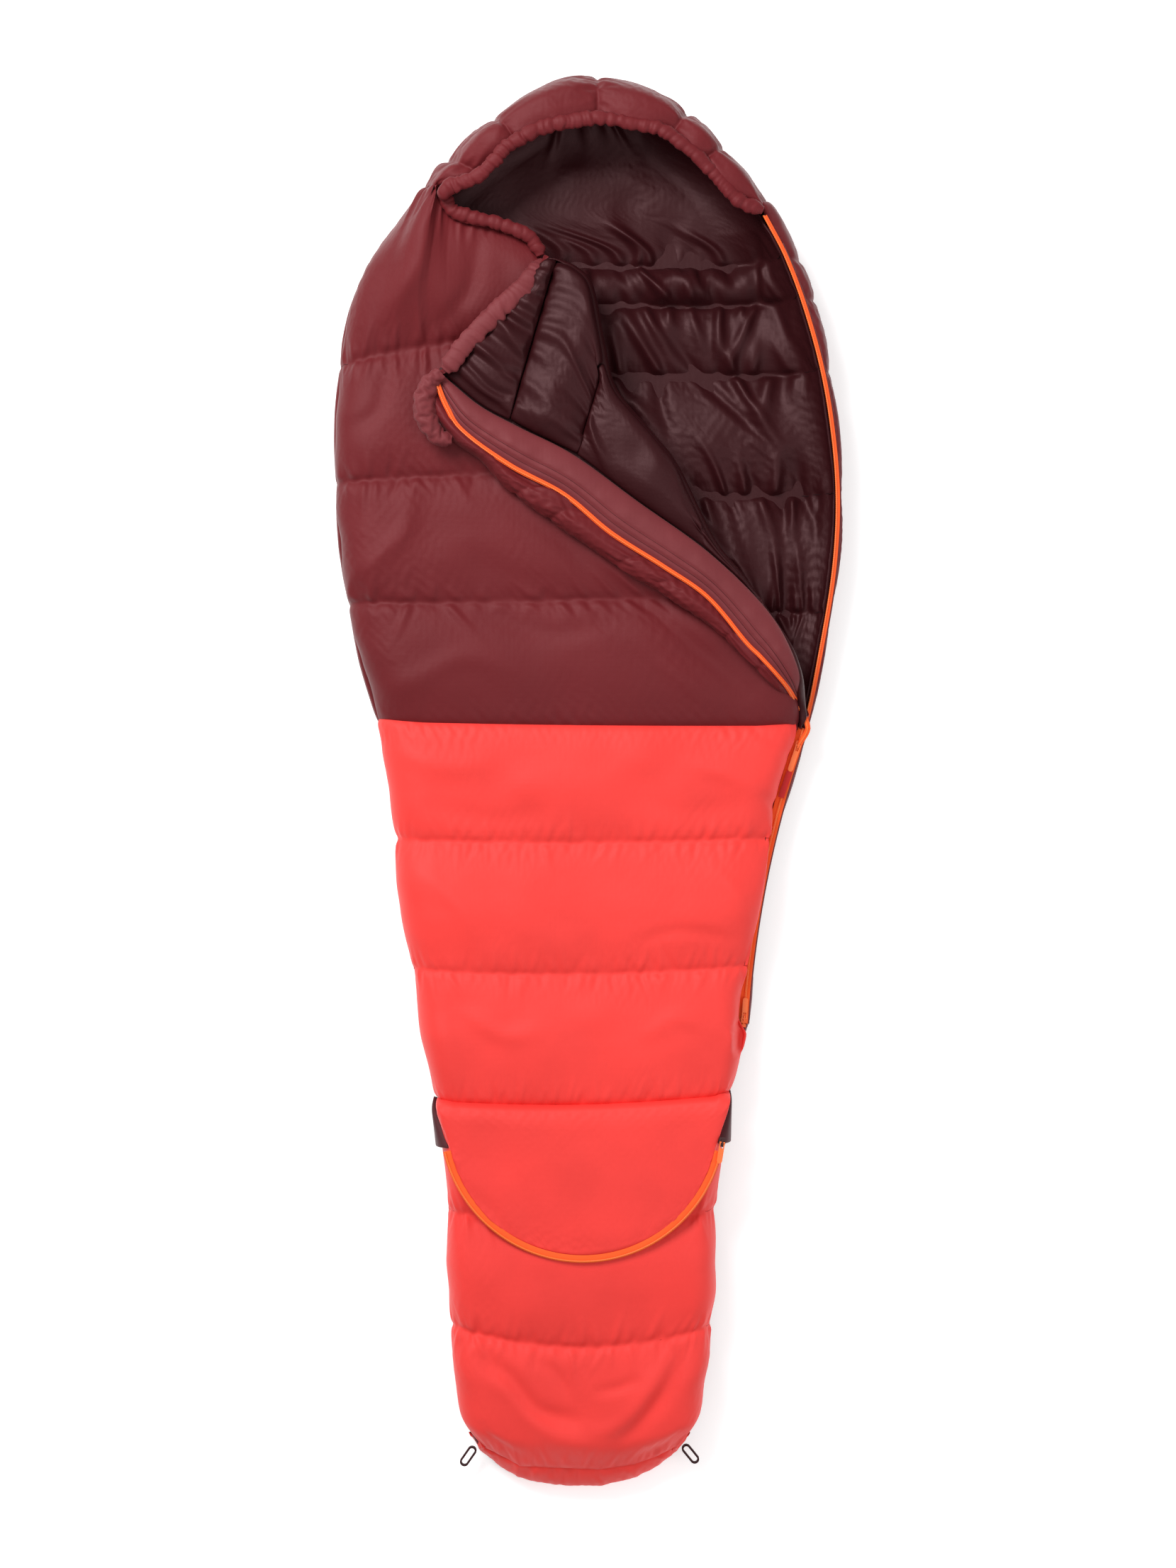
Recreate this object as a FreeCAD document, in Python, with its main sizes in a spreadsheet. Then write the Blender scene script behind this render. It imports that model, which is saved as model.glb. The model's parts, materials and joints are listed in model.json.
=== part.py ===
"""Child's mummy sleeping bag with a growing foot, lying open on its back.

Frame: +X to the bag's zip side, +Y from the foot to the hood, +Z up from the ground.
The origin is on the ground under the middle of the bag. Millimetres.
"""
import FreeCAD, Part
import math
import os
from FreeCAD import Placement, Rotation, Vector

os.makedirs("parts", exist_ok=True)
doc = FreeCAD.newDocument("MummySleepingBag")

# ---------------------------------------------------------------- driving sizes
SIZES = {
    "bag_length": 1700,         # foot seam to top of hood
    "skin": 1.2,                # shell or lining cloth, with its seams
    "back_thick": 32,           # back quilt, lying flat under the sleeper
    "cavity_top": 48,           # underside of the top quilts
    "chest_top": 80,            # crown of the chest quilt
    "leg_top": 90,              # crown of the leg quilt at its foot end
    "growth_top": 66,           # crown of the growing section under the cover flap
    "foot_top": 74,             # crown of the foot box
    "gusset_high": 34,          # padded wall that closes the foot
    "hood_top": 130,            # highest point of the hood's edge
    "gap": 0.4,                 # play between pieces that move past each other
    "flap_base": 82,            # underside of the folded-back flap
    "flap_thick": 30,
    "cover_base": 66.6,         # underside of the cover flap over the growing section
    "cover_thick": 23.4,
    "fold_y": -575,             # line across the bag where the growing foot folds
    "colour_seam_y": 72,        # where the dark chest meets the bright legs
    "growth_y": -400,           # where the growing section starts under the cover flap
    "arc_radius": 1300,         # the main zip's closed stretch is one long arc
    "arc_x": 1487,
    "arc_y": -369,
    "cover_radius": 168,        # round edge of the cover flap
    "cover_x": -5,
    "zip_z": 44,                # middle of the closed chain's tapes
    "tape_wide": 6.5,           # visible width of one zip tape
    "tape_thick": 0.8,
    "coil_gap": 0.7,            # from the chain's middle to each coil, where the wedge passes
    "coil_wide": 1.2,
    "coil_high": 2.4,
    "slider_long": 11,
    "slider_wide": 8.4,
    "plate_thick": 1.2,
    "plate_gap": 3.2,           # between a slider's two plates
    "crown_high": 3.4,
    "crown_wide": 1.8,
    "crown_long": 7,
    "pin_hole": 2.8,            # diameter of the hole through a slider's crown
    "puller_wide": 6.4,
    "puller_thick": 1.5,
    "puller_window": 7,
    "puller_long": 33,
    "small_puller_long": 25,
    "tab_long": 33,
    "tab_wide": 7,
    "loop_long": 27,
    "loop_wide": 11,
    "loop_tape": 2.2,
    "loop_high": 5,
    "loop_z": 20,
    "loop_gap": 2.8,            # from the foot's side to the loop, so that it can bend
}
sheet = doc.addObject("Spreadsheet::Sheet", "Sizes")
for row, (alias, value) in enumerate(SIZES.items(), start=1):
    sheet.set(f"A{row}", alias)
    sheet.set(f"B{row}", str(value))
    sheet.setAlias(f"B{row}", alias)
doc.recompute()


def size(alias):
    """One driving size, read back from the sheet."""
    return float(sheet.get(alias))


FOLD_Y = size("fold_y")
GAP = size("gap")
BACK_TOP = size("back_thick")
CAVITY = size("cavity_top")
WALL_FOOT = BACK_TOP + 0.4      # top quilts stand this high on the back quilt's edge

# ---------------------------------------------------------------- plan outlines
# Left edge of the bag from the fold line up to the hood, hand-set points of one smooth curve.
LEFT_EDGE = [(-170, FOLD_Y), (-174, -480), (-195, -320), (-224, -160), (-241, 0),
             (-280, 160), (-305, 320), (-305, 480), (-280, 600), (-230, 680),
             (-157, 760), (-66, 829)]
HOOD_TIP = [(8, size("bag_length") / 2 - 1)]
RIGHT_EDGE_UPPER = [(82, 829), (168, 760), (228, 680), (266, 600), (295, 480),
                    (308, 320), (288, 160)]
RIGHT_EDGE_LOWER = [(170, -400), (160, -480), (156, FOLD_Y)]
FOOT_EDGE = [(-170, FOLD_Y - GAP), (-165, -680), (-148, -775), (-115, -828), (-60, -848),
             (-10, 1 - size("bag_length") / 2), (45, -844), (96, -822), (126, -785),
             (144, -715), (154, -640), (156, FOLD_Y - GAP)]
ZIP_TOP_Y = 54                  # the main zip is open above this line
ZIP_LOW_Y = -290                # the main zip's lower end
EDGE_BEYOND_ZIP = 8


def zip_arc_x(y, beyond=0.0):
    """X of the closed chain at a height y, or of a line that far outside it."""
    radius = size("arc_radius") - beyond
    return size("arc_x") - math.sqrt(radius ** 2 - (y - size("arc_y")) ** 2)


zip_edge = [(zip_arc_x(y, EDGE_BEYOND_ZIP), y) for y in (ZIP_TOP_Y, -60, -175, ZIP_LOW_Y)]
BODY_EDGE = LEFT_EDGE + HOOD_TIP + RIGHT_EDGE_UPPER + zip_edge + RIGHT_EDGE_LOWER


def spline(points):
    """A smooth curve through plan points."""
    curve = Part.BSplineCurve()
    curve.interpolate([Vector(x, y, 0) for x, y in points])
    return curve


body_curve = spline(BODY_EDGE)
foot_curve = spline(FOOT_EDGE)


def edges_at(y):
    """The bag's left and right edge at one height y."""
    curve = body_curve if y >= FOLD_Y else foot_curve
    crossings = []
    samples = curve.discretize(400)
    for first, second in zip(samples, samples[1:]):
        if (first.y - y) * (second.y - y) <= 0 and first.y != second.y:
            share = (y - first.y) / (second.y - first.y)
            crossings.append(first.x + share * (second.x - first.x))
    return min(crossings), max(crossings)


def blend(value, table):
    """Straight-line reading of a short (position, value) list."""
    for (a, fa), (b, fb) in zip(table, table[1:]):
        if value <= b:
            share = max(0.0, (value - a) / (b - a))
            return fa + share * (fb - fa)
    return table[-1][1]


# ---------------------------------------------------------------- document helpers
subparts = []


def keep(obj, name):
    """Name a finished sub-part and list it for writing."""
    obj.Label = name
    subparts.append(obj)
    return obj


def solid_part(name, shape, placement=None):
    """A sub-part whose shape is worked out here rather than by a stock feature."""
    part = doc.addObject("Part::Feature", name)
    part.Shape = shape
    part.Placement = placement or Placement()
    return keep(part, name)


def origin_plane(body, role):
    """One of a body's own origin planes."""
    return next(o for o in body.Origin.OriginFeatures if o.Role == role)


def sketch_on(body, label, role, geometry, lift=None):
    """A sketch on an origin plane, lifted by a sheet expression."""
    sketch = body.newObject("Sketcher::SketchObject", label)
    sketch.AttachmentSupport = [(origin_plane(body, role), "")]
    sketch.MapMode = "FlatFace"
    if lift:
        sketch.setExpression("AttachmentOffset.Base.z", lift)
    for piece in geometry:
        sketch.addGeometry(piece, False)
    return sketch


def polygon(points):
    """Closed sketch lines through plan points."""
    corners = [Vector(x, y, 0) for x, y in points]
    return [Part.LineSegment(a, b) for a, b in zip(corners, corners[1:] + corners[:1])]


def pad(body, sketch, label, length, both_ways=False):
    """A pad whose length is a sheet expression."""
    feature = body.newObject("PartDesign::Pad", label)
    feature.Profile = sketch
    feature.setExpression("Length", length)
    if both_ways:
        feature.Midplane = True
    sketch.Visibility = False
    body.Tip = feature
    return feature


def plate(name, geometry, base, thick):
    """A flat piece of cloth or filling cut to one outline."""
    body = doc.addObject("PartDesign::Body", name)
    sketch = sketch_on(body, name + "_outline", "XY_Plane", geometry, base)
    pad(body, sketch, name + "_pad", thick)
    return keep(body, name)


def layered_plates(stem, geometry, base, thick, lining_first=False):
    """Shell, filling and lining of a flat quilt, one on the other."""
    low, high = ("lining", "shell") if lining_first else ("shell", "lining")
    plate(f"{stem}_{low}", geometry, base, "Sizes.skin")
    plate(f"{stem}_filling", geometry, f"{base} + Sizes.skin", f"{thick} - 2 * Sizes.skin")
    plate(f"{stem}_{high}", geometry, f"{base} + {thick} - Sizes.skin", "Sizes.skin")


def wire(points):
    """Closed wire through space points."""
    return Part.makePolygon(list(points) + [points[0]])


def loft(sections):
    """Solid through sections that all have the same number of corners."""
    return Part.makeLoft([wire(section) for section in sections], True, True)


def layer(sections, low, high):
    """The part of a quilt between two depths, 0 on its outer face and 1 on its inner one.

    Each section is (outer points, inner points), paired one to one.
    """
    rings = []
    for outer, inner in sections:
        top = [a + (b - a) * low for a, b in zip(outer, inner)]
        bottom = [a + (b - a) * high for a, b in zip(outer, inner)]
        rings.append(top + bottom[::-1])
    return loft(rings)


SKIN_SHARE = 0.045


def layered_quilt(stem, sections):
    """Shell, filling and lining of a quilt whose section changes along it."""
    solid_part(f"{stem}_shell", layer(sections, 0, SKIN_SHARE))
    solid_part(f"{stem}_filling", layer(sections, SKIN_SHARE, 1 - SKIN_SHARE))
    solid_part(f"{stem}_lining", layer(sections, 1 - SKIN_SHARE, 1))


def frames_along(points):
    """Point, level direction to the right of travel, and up, at each point of a route."""
    frames = []
    for i, here in enumerate(points):
        before = points[max(i - 1, 0)]
        after = points[min(i + 1, len(points) - 1)]
        ahead = (after - before).normalize()
        across = ahead.cross(Vector(0, 0, 1)).normalize()
        frames.append((here, across, across.cross(ahead)))
    return frames


def strip(points, profile):
    """A ribbon with one section all along a route. The profile is (across, up) pairs."""
    sections = []
    for here, across, up in frames_along(points):
        sections.append([here + across * a + up * b for a, b in profile])
    return loft(sections)


def rectangle(a, b, low, high):
    """Four corners of a section."""
    return [(a, low), (b, low), (b, high), (a, high)]


def span(first, last, step):
    """Evenly spaced stations from first to last."""
    count = max(1, math.ceil(abs(last - first) / step))
    return [first + (last - first) * i / count for i in range(count + 1)]


# ---------------------------------------------------------------- back of the bag
fold_corners = [Vector(*BODY_EDGE[0], 0), Vector(*BODY_EDGE[-1], 0)]
back_outline = [body_curve, Part.LineSegment(fold_corners[1], fold_corners[0])]
layered_plates("back", back_outline, "0", "Sizes.back_thick")

foot_corners = [Vector(*FOOT_EDGE[0], 0), Vector(*FOOT_EDGE[-1], 0)]
foot_outline = [foot_curve, Part.LineSegment(foot_corners[1], foot_corners[0])]
layered_plates("foot_back", foot_outline, "0", "Sizes.back_thick")

# ---------------------------------------------------------------- arched top quilts
WALL = 26                       # thickness of a quilt's side where it turns down


def left_wall(x, crown):
    """Outer and inner points where a top quilt comes down at its left."""
    outer = [(x + 1, WALL_FOOT), (x + 4, 54), (x + 16, crown - 9), (x + 42, crown - 2)]
    inner = [(x + WALL, WALL_FOOT), (x + WALL + 3, 40), (x + 38, CAVITY - 3), (x + 56, CAVITY)]
    return outer, inner


def arch(y, left, right, crown, right_wall=True):
    """One section of a top quilt: its outer and inner line across the bag."""
    outer, inner = left_wall(left, crown)
    if not right_wall:          # a narrow end keeps its points in order
        outer = [(min(x, right - 9 + 2 * i), z) for i, (x, z) in enumerate(outer)]
        inner = [(min(x, right - 9 + 2 * i), z) for i, (x, z) in enumerate(inner)]
    middle = (outer[-1][0] + right) / 2
    inner_middle = (inner[-1][0] + right) / 2
    if right_wall:
        middle = inner_middle = (left + right) / 2
    outer = outer + [(middle, crown)]
    inner = inner + [(inner_middle, CAVITY)]
    if right_wall:
        mirror_outer, mirror_inner = left_wall(-right, crown)
        outer += [(-x, z) for x, z in reversed(mirror_outer)]
        inner += [(-x, z) for x, z in reversed(mirror_inner)]
    else:
        outer.append((right, crown))
        inner.append((right, CAVITY))
    return ([Vector(x, y, z) for x, z in outer], [Vector(x, y, z) for x, z in inner])


# Chest: from the colour seam up to the hood, and from the left side to the line
# where the open front folds back.
COLOUR_Y = size("colour_seam_y")
SPLIT = Vector(261, 66, CAVITY)             # bottom of the open stretch
FOLD_TOP = Vector(-50, 627, CAVITY)         # top of the fold line
CHEST_RIGHT = [(COLOUR_Y, SPLIT.x - 12), (FOLD_TOP.y, FOLD_TOP.x - 4), (641, -64),
               (660, -82), (674, -138), (700, -178)]
chest_sections = []
for y in span(COLOUR_Y + GAP, FOLD_TOP.y, 62) + [641, 660, 674, 700]:
    left, _ = edges_at(y)
    chest_sections.append(arch(y, left, blend(y, CHEST_RIGHT), size("chest_top"), False))
layered_quilt("chest", chest_sections)

# Legs: between the colour seam and the growing section, bound on the right by the zip.
LEG_CROWN = [(size("growth_y"), size("leg_top")), (-250, 84), (COLOUR_Y, size("chest_top"))]
ZIP_TO_QUILT = 8


def leg_right(y):
    """Right side of the leg quilt: the zip above its lower end, then the bag's own edge."""
    edge = edges_at(y)[1]
    beside_zip = zip_arc_x(max(y, ZIP_LOW_Y)) - ZIP_TO_QUILT
    return blend(y, [(-380, edge), (ZIP_LOW_Y - 15, beside_zip), (COLOUR_Y, beside_zip)])


leg_sections = []
for y in span(size("growth_y"), -290, 30) + span(-275, COLOUR_Y, 40):
    left, _ = edges_at(y)
    leg_sections.append(arch(y, left, leg_right(y), blend(y, LEG_CROWN)))
layered_quilt("leg", leg_sections)

# Growing section under the cover flap, and the foot box beyond the fold.
growth_sections = []
for y in span(FOLD_Y, size("growth_y") - GAP, 45):
    left, right = edges_at(y)
    growth_sections.append(arch(y, left, right, size("growth_top")))
layered_quilt("growth_top", growth_sections)

FOOT_PANEL_Y = -800             # the foot's top panel ends here, against the end gusset
foot_sections = []
for y in span(FOOT_PANEL_Y, FOLD_Y - GAP, 45):
    left, right = edges_at(y)
    foot_sections.append(arch(y, left, right, size("foot_top")))
layered_quilt("foot_top", foot_sections)

# End gusset: a padded wall that closes the foot, as wide as the bag is there.
gusset_edge = spline([(-138, -801), (-115, -826), (-60, -846), (-10, -847), (45, -842),
                      (94, -820), (120, -801)])
gusset_chord = Part.LineSegment(gusset_edge.EndPoint, gusset_edge.StartPoint)
plate("foot_end_gusset", [gusset_edge, gusset_chord], "Sizes.back_thick + Sizes.gap",
      "Sizes.gusset_high")

# ---------------------------------------------------------------- right side wall
# Half of the bag's side stays on the back quilt and carries the back half of the zip.
ZIP_HEIGHT = [(ZIP_TOP_Y, size("zip_z")), (200, 52), (340, 60), (470, 74), (566, 88),
              (641, 100), (692, 108)]
ZIP_INSET = [(ZIP_TOP_Y, EDGE_BEYOND_ZIP), (226, 7), (339, 8), (472, 11), (566, 18), (692, 24)]
WALL_BASE = [(COLOUR_Y, 14), (200, WALL), (692, WALL)]
WALL_TOP = [(COLOUR_Y, 14), (200, 25), (600, 25), (692, 29)]
WALL_HEAD_Y = 668


def side_wall_section(y):
    """Outer and inner line of the side wall at one height y."""
    edge = edges_at(y)[1]
    top = blend(y, ZIP_HEIGHT) - 2
    zip_at = edge - blend(y, ZIP_INSET)
    inside = edge - blend(y, WALL_TOP)
    outer = [(edge - 1, WALL_FOOT), (edge - 1.5, (WALL_FOOT + top) / 2), (zip_at + 5, top)]
    inner = [(edge - blend(y, WALL_BASE), WALL_FOOT),
             (inside - 1, (WALL_FOOT + top) / 2 - 1), (inside, top - 1)]
    return ([Vector(x, y, z) for x, z in outer], [Vector(x, y, z) for x, z in inner])


layered_quilt("side_wall", [side_wall_section(y) for y in span(COLOUR_Y, WALL_HEAD_Y, 60)])

closed_ys = span(ZIP_LOW_Y, ZIP_TOP_Y, 20)
edge_route = [Vector(zip_arc_x(y), y, WALL_FOOT) for y in closed_ys]
TAPE_LOW = size("zip_z") - size("tape_thick") / 2
edge_profile = rectangle(4.9, 7.5, 0, TAPE_LOW - WALL_FOOT - 0.1)
solid_part("zip_edge_binding", strip(edge_route, edge_profile))

# ---------------------------------------------------------------- hood
HEAD = Vector(15, 632, 0)
HOOD_START, HOOD_END = 17, 158              # degrees round the head, from the zip side
# Rim of the hood, as distance from the head's middle at each angle.
HOOD_RIM = [(17, 186), (30, 180), (45, 172), (60, 166), (75, 165), (90, 163), (105, 160),
            (120, 156), (135, 150), (142, 158), (150, 186), (158, 200)]


def hood_section(angle):
    """Outer and inner line of the hood in the upright plane at one angle."""
    toward = Vector(math.cos(math.radians(angle)), math.sin(math.radians(angle)), 0)
    far = HEAD + toward * 400
    ray = Part.LineSegment(HEAD, far)
    hits = body_curve.intersect(ray)
    edge = max((Vector(p.X, p.Y, p.Z) - HEAD).Length for p in hits)
    wide = edge - blend(angle, HOOD_RIM)
    crown = size("hood_top")
    outer = [(1, WALL_FOOT), (3, 72), (0.2 * wide + 3, crown - 22), (0.6 * wide, crown - 4),
             (wide, crown)]
    inner = [(26, WALL_FOOT), (26, 66), (max(26, 0.2 * wide + 17), 86),
             (max(27, 0.6 * wide + 6), 101), (max(28, wide + 1), crown - 24)]
    return ([HEAD + toward * (edge - inset) + Vector(0, 0, z) for inset, z in outer],
            [HEAD + toward * (edge - inset) + Vector(0, 0, z) for inset, z in inner])


hood_sections = [hood_section(angle) for angle in span(HOOD_START, HOOD_END, 7.5)]
layered_quilt("hood", hood_sections)


# The rim's channel is a folded binding along the hood's free edge, with elastic inside it.
def rim_strip(inset, low, high, wide):
    """A strip that follows the hood's free edge."""
    sections = []
    for angle in span(HOOD_START, HOOD_END, 7.5):
        toward = Vector(math.cos(math.radians(angle)), math.sin(math.radians(angle)), 0)
        outer, inner = hood_section(angle)
        edge = min((outer[-1] - HEAD).dot(toward), (inner[-1] - HEAD).dot(toward))
        corner = [(edge - inset, low), (edge - inset, high), (edge - inset - wide, high),
                  (edge - inset - wide, low)]
        sections.append([HEAD + toward * r + Vector(0, 0, z) for r, z in corner])
    return loft(sections)


solid_part("hood_elastic", rim_strip(0.3, 112, 124, 2.4))
channel_wrap = rim_strip(0.2, 107, 129, 7)
channel_bore = rim_strip(-1, 111.6, 124.4, 4.1)
solid_part("hood_rim_channel", channel_wrap.cut(channel_bore))

chest_rim_route = [Vector(-172, 704, 66), Vector(-140, 680, 66), Vector(-103, 674, 66),
                   Vector(-76, 664, 66), Vector(-56, 645, 66), Vector(-46, 632, 66)]
solid_part("chest_rim_channel", strip(chest_rim_route, rectangle(-5.5, -0.4, -14, 13)))

# ---------------------------------------------------------------- front flap, folded back
FLAP_TOP = size("flap_base") + size("flap_thick")
# The flap's half of the main zip, from the bottom of the opening up to its top end.
FLAP_ZIP = [(258, 82), (238, 120), (189, 168), (144, 221), (92, 257), (29, 297), (-27, 343),
            (-89, 376), (-145, 416), (-176, 470)]
FLAP_FOLD = [(-34, 620), (1, 590), (26, 520), (77, 415), (148, 292), (224, 176), (262, 84)]
FLAP_NECK = [(-176, 498), (-150, 529), (-121, 553), (-84, 586), (-34, 620)]
CURL = 20                                   # shell that shows beyond the zip


def shifted(points, distance):
    """A plan route moved sideways, to the right of travel."""
    route = [Vector(x, y, 0) for x, y in points]
    moved = [here + across * distance for here, across, _ in frames_along(route)]
    return [(p.x, p.y) for p in moved]


flap_edge = shifted(FLAP_ZIP, -CURL)
flap_outline = [spline([FLAP_FOLD[-1]] + flap_edge[1:]),
                Part.LineSegment(Vector(*flap_edge[-1], 0), Vector(*FLAP_NECK[0], 0)),
                spline(FLAP_NECK),
                spline(FLAP_FOLD)]
layered_plates("flap", flap_outline, "Sizes.flap_base", "Sizes.flap_thick")

DRAFT_START = 9                             # the draft tube starts this many stations up
zip_route = [Vector(p.x, p.y, FLAP_TOP) for p in spline(FLAP_ZIP).discretize(34)]
solid_part("flap_zip_tape", strip(zip_route, rectangle(0, 9, 0.2, 1)))
solid_part("flap_zip_coil", strip(zip_route, rectangle(-2.2, -0.1, 0.2, 2.6)))
solid_part("draft_tube", strip(zip_route[DRAFT_START:-2], rectangle(9.3, 42, 0.2, 9)))
neck_route = [Vector(p.x, p.y, size("flap_base")) for p in spline(FLAP_NECK).discretize(12)]
solid_part("flap_rim_channel", strip(neck_route, rectangle(-7, -0.5, 3, 27)))
collar_route = [Vector(-30, 580, FLAP_TOP), Vector(-46, 520, FLAP_TOP),
                Vector(-54, 470, FLAP_TOP), Vector(-56, 425, FLAP_TOP)]
solid_part("draft_collar", strip(collar_route, rectangle(-26, 26, 0.2, 15)))
garage_route = [Vector(-186, 440, FLAP_TOP), Vector(-190, 478, FLAP_TOP)]
solid_part("zip_garage", strip(garage_route, rectangle(-4, 8, 3.2, 6)))

# ---------------------------------------------------------------- main zip, back half
open_ys = span(ZIP_TOP_Y, 692, 30)[1:]
back_route = [Vector(zip_arc_x(y), y, size("zip_z")) for y in closed_ys]
back_route += [Vector(edges_at(y)[1] - blend(y, ZIP_INSET), y, blend(y, ZIP_HEIGHT))
               for y in open_ys if y < WALL_HEAD_Y]
HALF_TAPE = size("tape_thick") / 2
HALF_COIL = size("coil_high") / 2
TAPE = size("tape_wide")
NEAR = size("coil_gap")
COIL = NEAR + size("coil_wide")
solid_part("back_zip_tape", strip(back_route, rectangle(COIL, TAPE, -HALF_TAPE, HALF_TAPE)))
solid_part("back_zip_coil", strip(back_route, rectangle(NEAR, COIL, -HALF_COIL, HALF_COIL)))
closed_route = back_route[:len(closed_ys)]
front_profile = rectangle(-TAPE, -COIL, -HALF_TAPE, HALF_TAPE)
solid_part("front_zip_tape", strip(closed_route, front_profile))
front_coil = rectangle(-COIL, -NEAR, -HALF_COIL, HALF_COIL)
solid_part("front_zip_coil", strip(closed_route, front_coil))
stop_route = [Vector(zip_arc_x(y), y, size("zip_z")) for y in (ZIP_LOW_Y - 4, ZIP_LOW_Y - 0.2)]
solid_part("zip_bottom_stop", strip(stop_route, rectangle(-2.6, 2.6, -1.7, 1.7)))

# ---------------------------------------------------------------- cover flap
# A round flap at the end of the legs hangs over the start of the growing section.
COVER = Vector(size("cover_x"), size("growth_y"), 0)
COVER_TOP = size("cover_base") + size("cover_thick")
CHAIN_RADIUS = size("cover_radius")
CLOTH_RADIUS = CHAIN_RADIUS - 6
COVER_END = 5                               # degrees below level where its zip stops


def polar(radius, degrees, z=0.0):
    """A point round the middle of the cover flap's edge."""
    turn = math.radians(degrees)
    return COVER + Vector(radius * math.cos(turn), radius * math.sin(turn), z)


def sector(low_radius, high_radius, low, high, start, end):
    """A curved bar round the cover flap, of rectangular section."""
    corners = [polar(low_radius, start, low), polar(high_radius, start, low),
               polar(high_radius, start, high), polar(low_radius, start, high)]
    face = Part.Face(wire(corners))
    return face.revolve(COVER, Vector(0, 0, 1), end - start)


side_angle = math.degrees(math.asin(2 * GAP / CLOTH_RADIUS))
cover_arc = Part.Arc(polar(CLOTH_RADIUS, 180 + side_angle), polar(CLOTH_RADIUS, -90),
                     polar(CLOTH_RADIUS, -side_angle))
cover_line = Part.LineSegment(polar(CLOTH_RADIUS, -side_angle),
                              polar(CLOTH_RADIUS, 180 + side_angle))
layered_plates("cover", [cover_arc, cover_line], "Sizes.cover_base", "Sizes.cover_thick")
CHAIN_Z = COVER_TOP + 0.6
zip_span = (180 + COVER_END, 360 - COVER_END)
solid_part("cover_zip_tape", sector(CHAIN_RADIUS - 14, CHAIN_RADIUS - COIL,
                                    CHAIN_Z - HALF_TAPE, CHAIN_Z + HALF_TAPE, *zip_span))
solid_part("cover_zip_coil", sector(CHAIN_RADIUS - COIL, CHAIN_RADIUS - NEAR,
                                    CHAIN_Z - HALF_COIL, CHAIN_Z + HALF_COIL, *zip_span))
TAB_SPAN = 12
TAB_OUTSIDE = 4.8                           # clear of a slider on the chain
for side, start, wide in (("left", 180 + 1, 12), ("right", 360 - 1 - TAB_SPAN, 6)):
    inside = CHAIN_RADIUS + TAB_OUTSIDE
    tab = sector(inside, inside + wide, COVER_TOP - 1, COVER_TOP + 0.6, start,
                 start + TAB_SPAN)
    solid_part(f"cover_tab_{side}", tab)

# ---------------------------------------------------------------- sliders and pullers
HALF_LONG = size("slider_long") / 2
HALF_WIDE = size("slider_wide") / 2


def slider(name, placement):
    """A zip slider: two plates with turned-in edges, joined by the wedge at its nose.

    Its own frame has the chain along Y, the nose toward +Y and the crown up.
    """
    body = doc.addObject("PartDesign::Body", name)
    outline = polygon([(-3.2, -HALF_LONG), (3.2, -HALF_LONG), (HALF_WIDE, 1.5),
                       (3.4, HALF_LONG), (-3.4, HALF_LONG), (-HALF_WIDE, 1.5)])
    edges = []
    for side in (-1, 1):
        edges += polygon([(side * 3.2, -HALF_LONG), (side * HALF_WIDE, 1.5),
                          (side * (HALF_WIDE - 0.7), 1.5), (side * 2.5, -HALF_LONG)])
    wedge = polygon([(0, 0.8), (0.45, 2), (0.45, HALF_LONG), (-0.45, HALF_LONG), (-0.45, 2)])
    crown = polygon([(-size("crown_wide") / 2, -size("crown_long") / 2),
                     (size("crown_wide") / 2, -size("crown_long") / 2),
                     (size("crown_wide") / 2, size("crown_long") / 2),
                     (-size("crown_wide") / 2, size("crown_long") / 2)])
    half_gap = "Sizes.plate_gap / 2"
    stages = [
        ("lower", outline, f"-{half_gap} - Sizes.plate_thick", "Sizes.plate_thick"),
        ("lower_edge", edges, f"-{half_gap}", "0.8"),
        ("wedge", wedge, f"-{half_gap}", "Sizes.plate_gap"),
        ("upper", outline, half_gap, "Sizes.plate_thick"),
        ("upper_edge", edges, f"{half_gap} - 0.8", "0.8"),
        ("crown", crown, f"{half_gap} + Sizes.plate_thick", "Sizes.crown_high"),
    ]
    for label, geometry, lift, length in stages:
        sketch = sketch_on(body, f"{name}_{label}_sketch", "XY_Plane", geometry, lift)
        pad(body, sketch, f"{name}_{label}", length)
    eye = Part.Circle(Vector(0, crown_middle(), 0), Vector(0, 0, 1), size("pin_hole") / 2)
    sketch = sketch_on(body, f"{name}_eye_sketch", "YZ_Plane", [eye])
    hole = body.newObject("PartDesign::Pocket", f"{name}_eye")
    hole.Profile = sketch
    hole.Midplane = True
    hole.setExpression("Length", "2 * Sizes.crown_wide")
    body.Tip = hole
    body.Placement = placement
    return keep(body, name)


def crown_middle():
    """Height of the puller's pivot above the chain."""
    return size("plate_gap") / 2 + size("plate_thick") + size("crown_high") / 2


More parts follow.
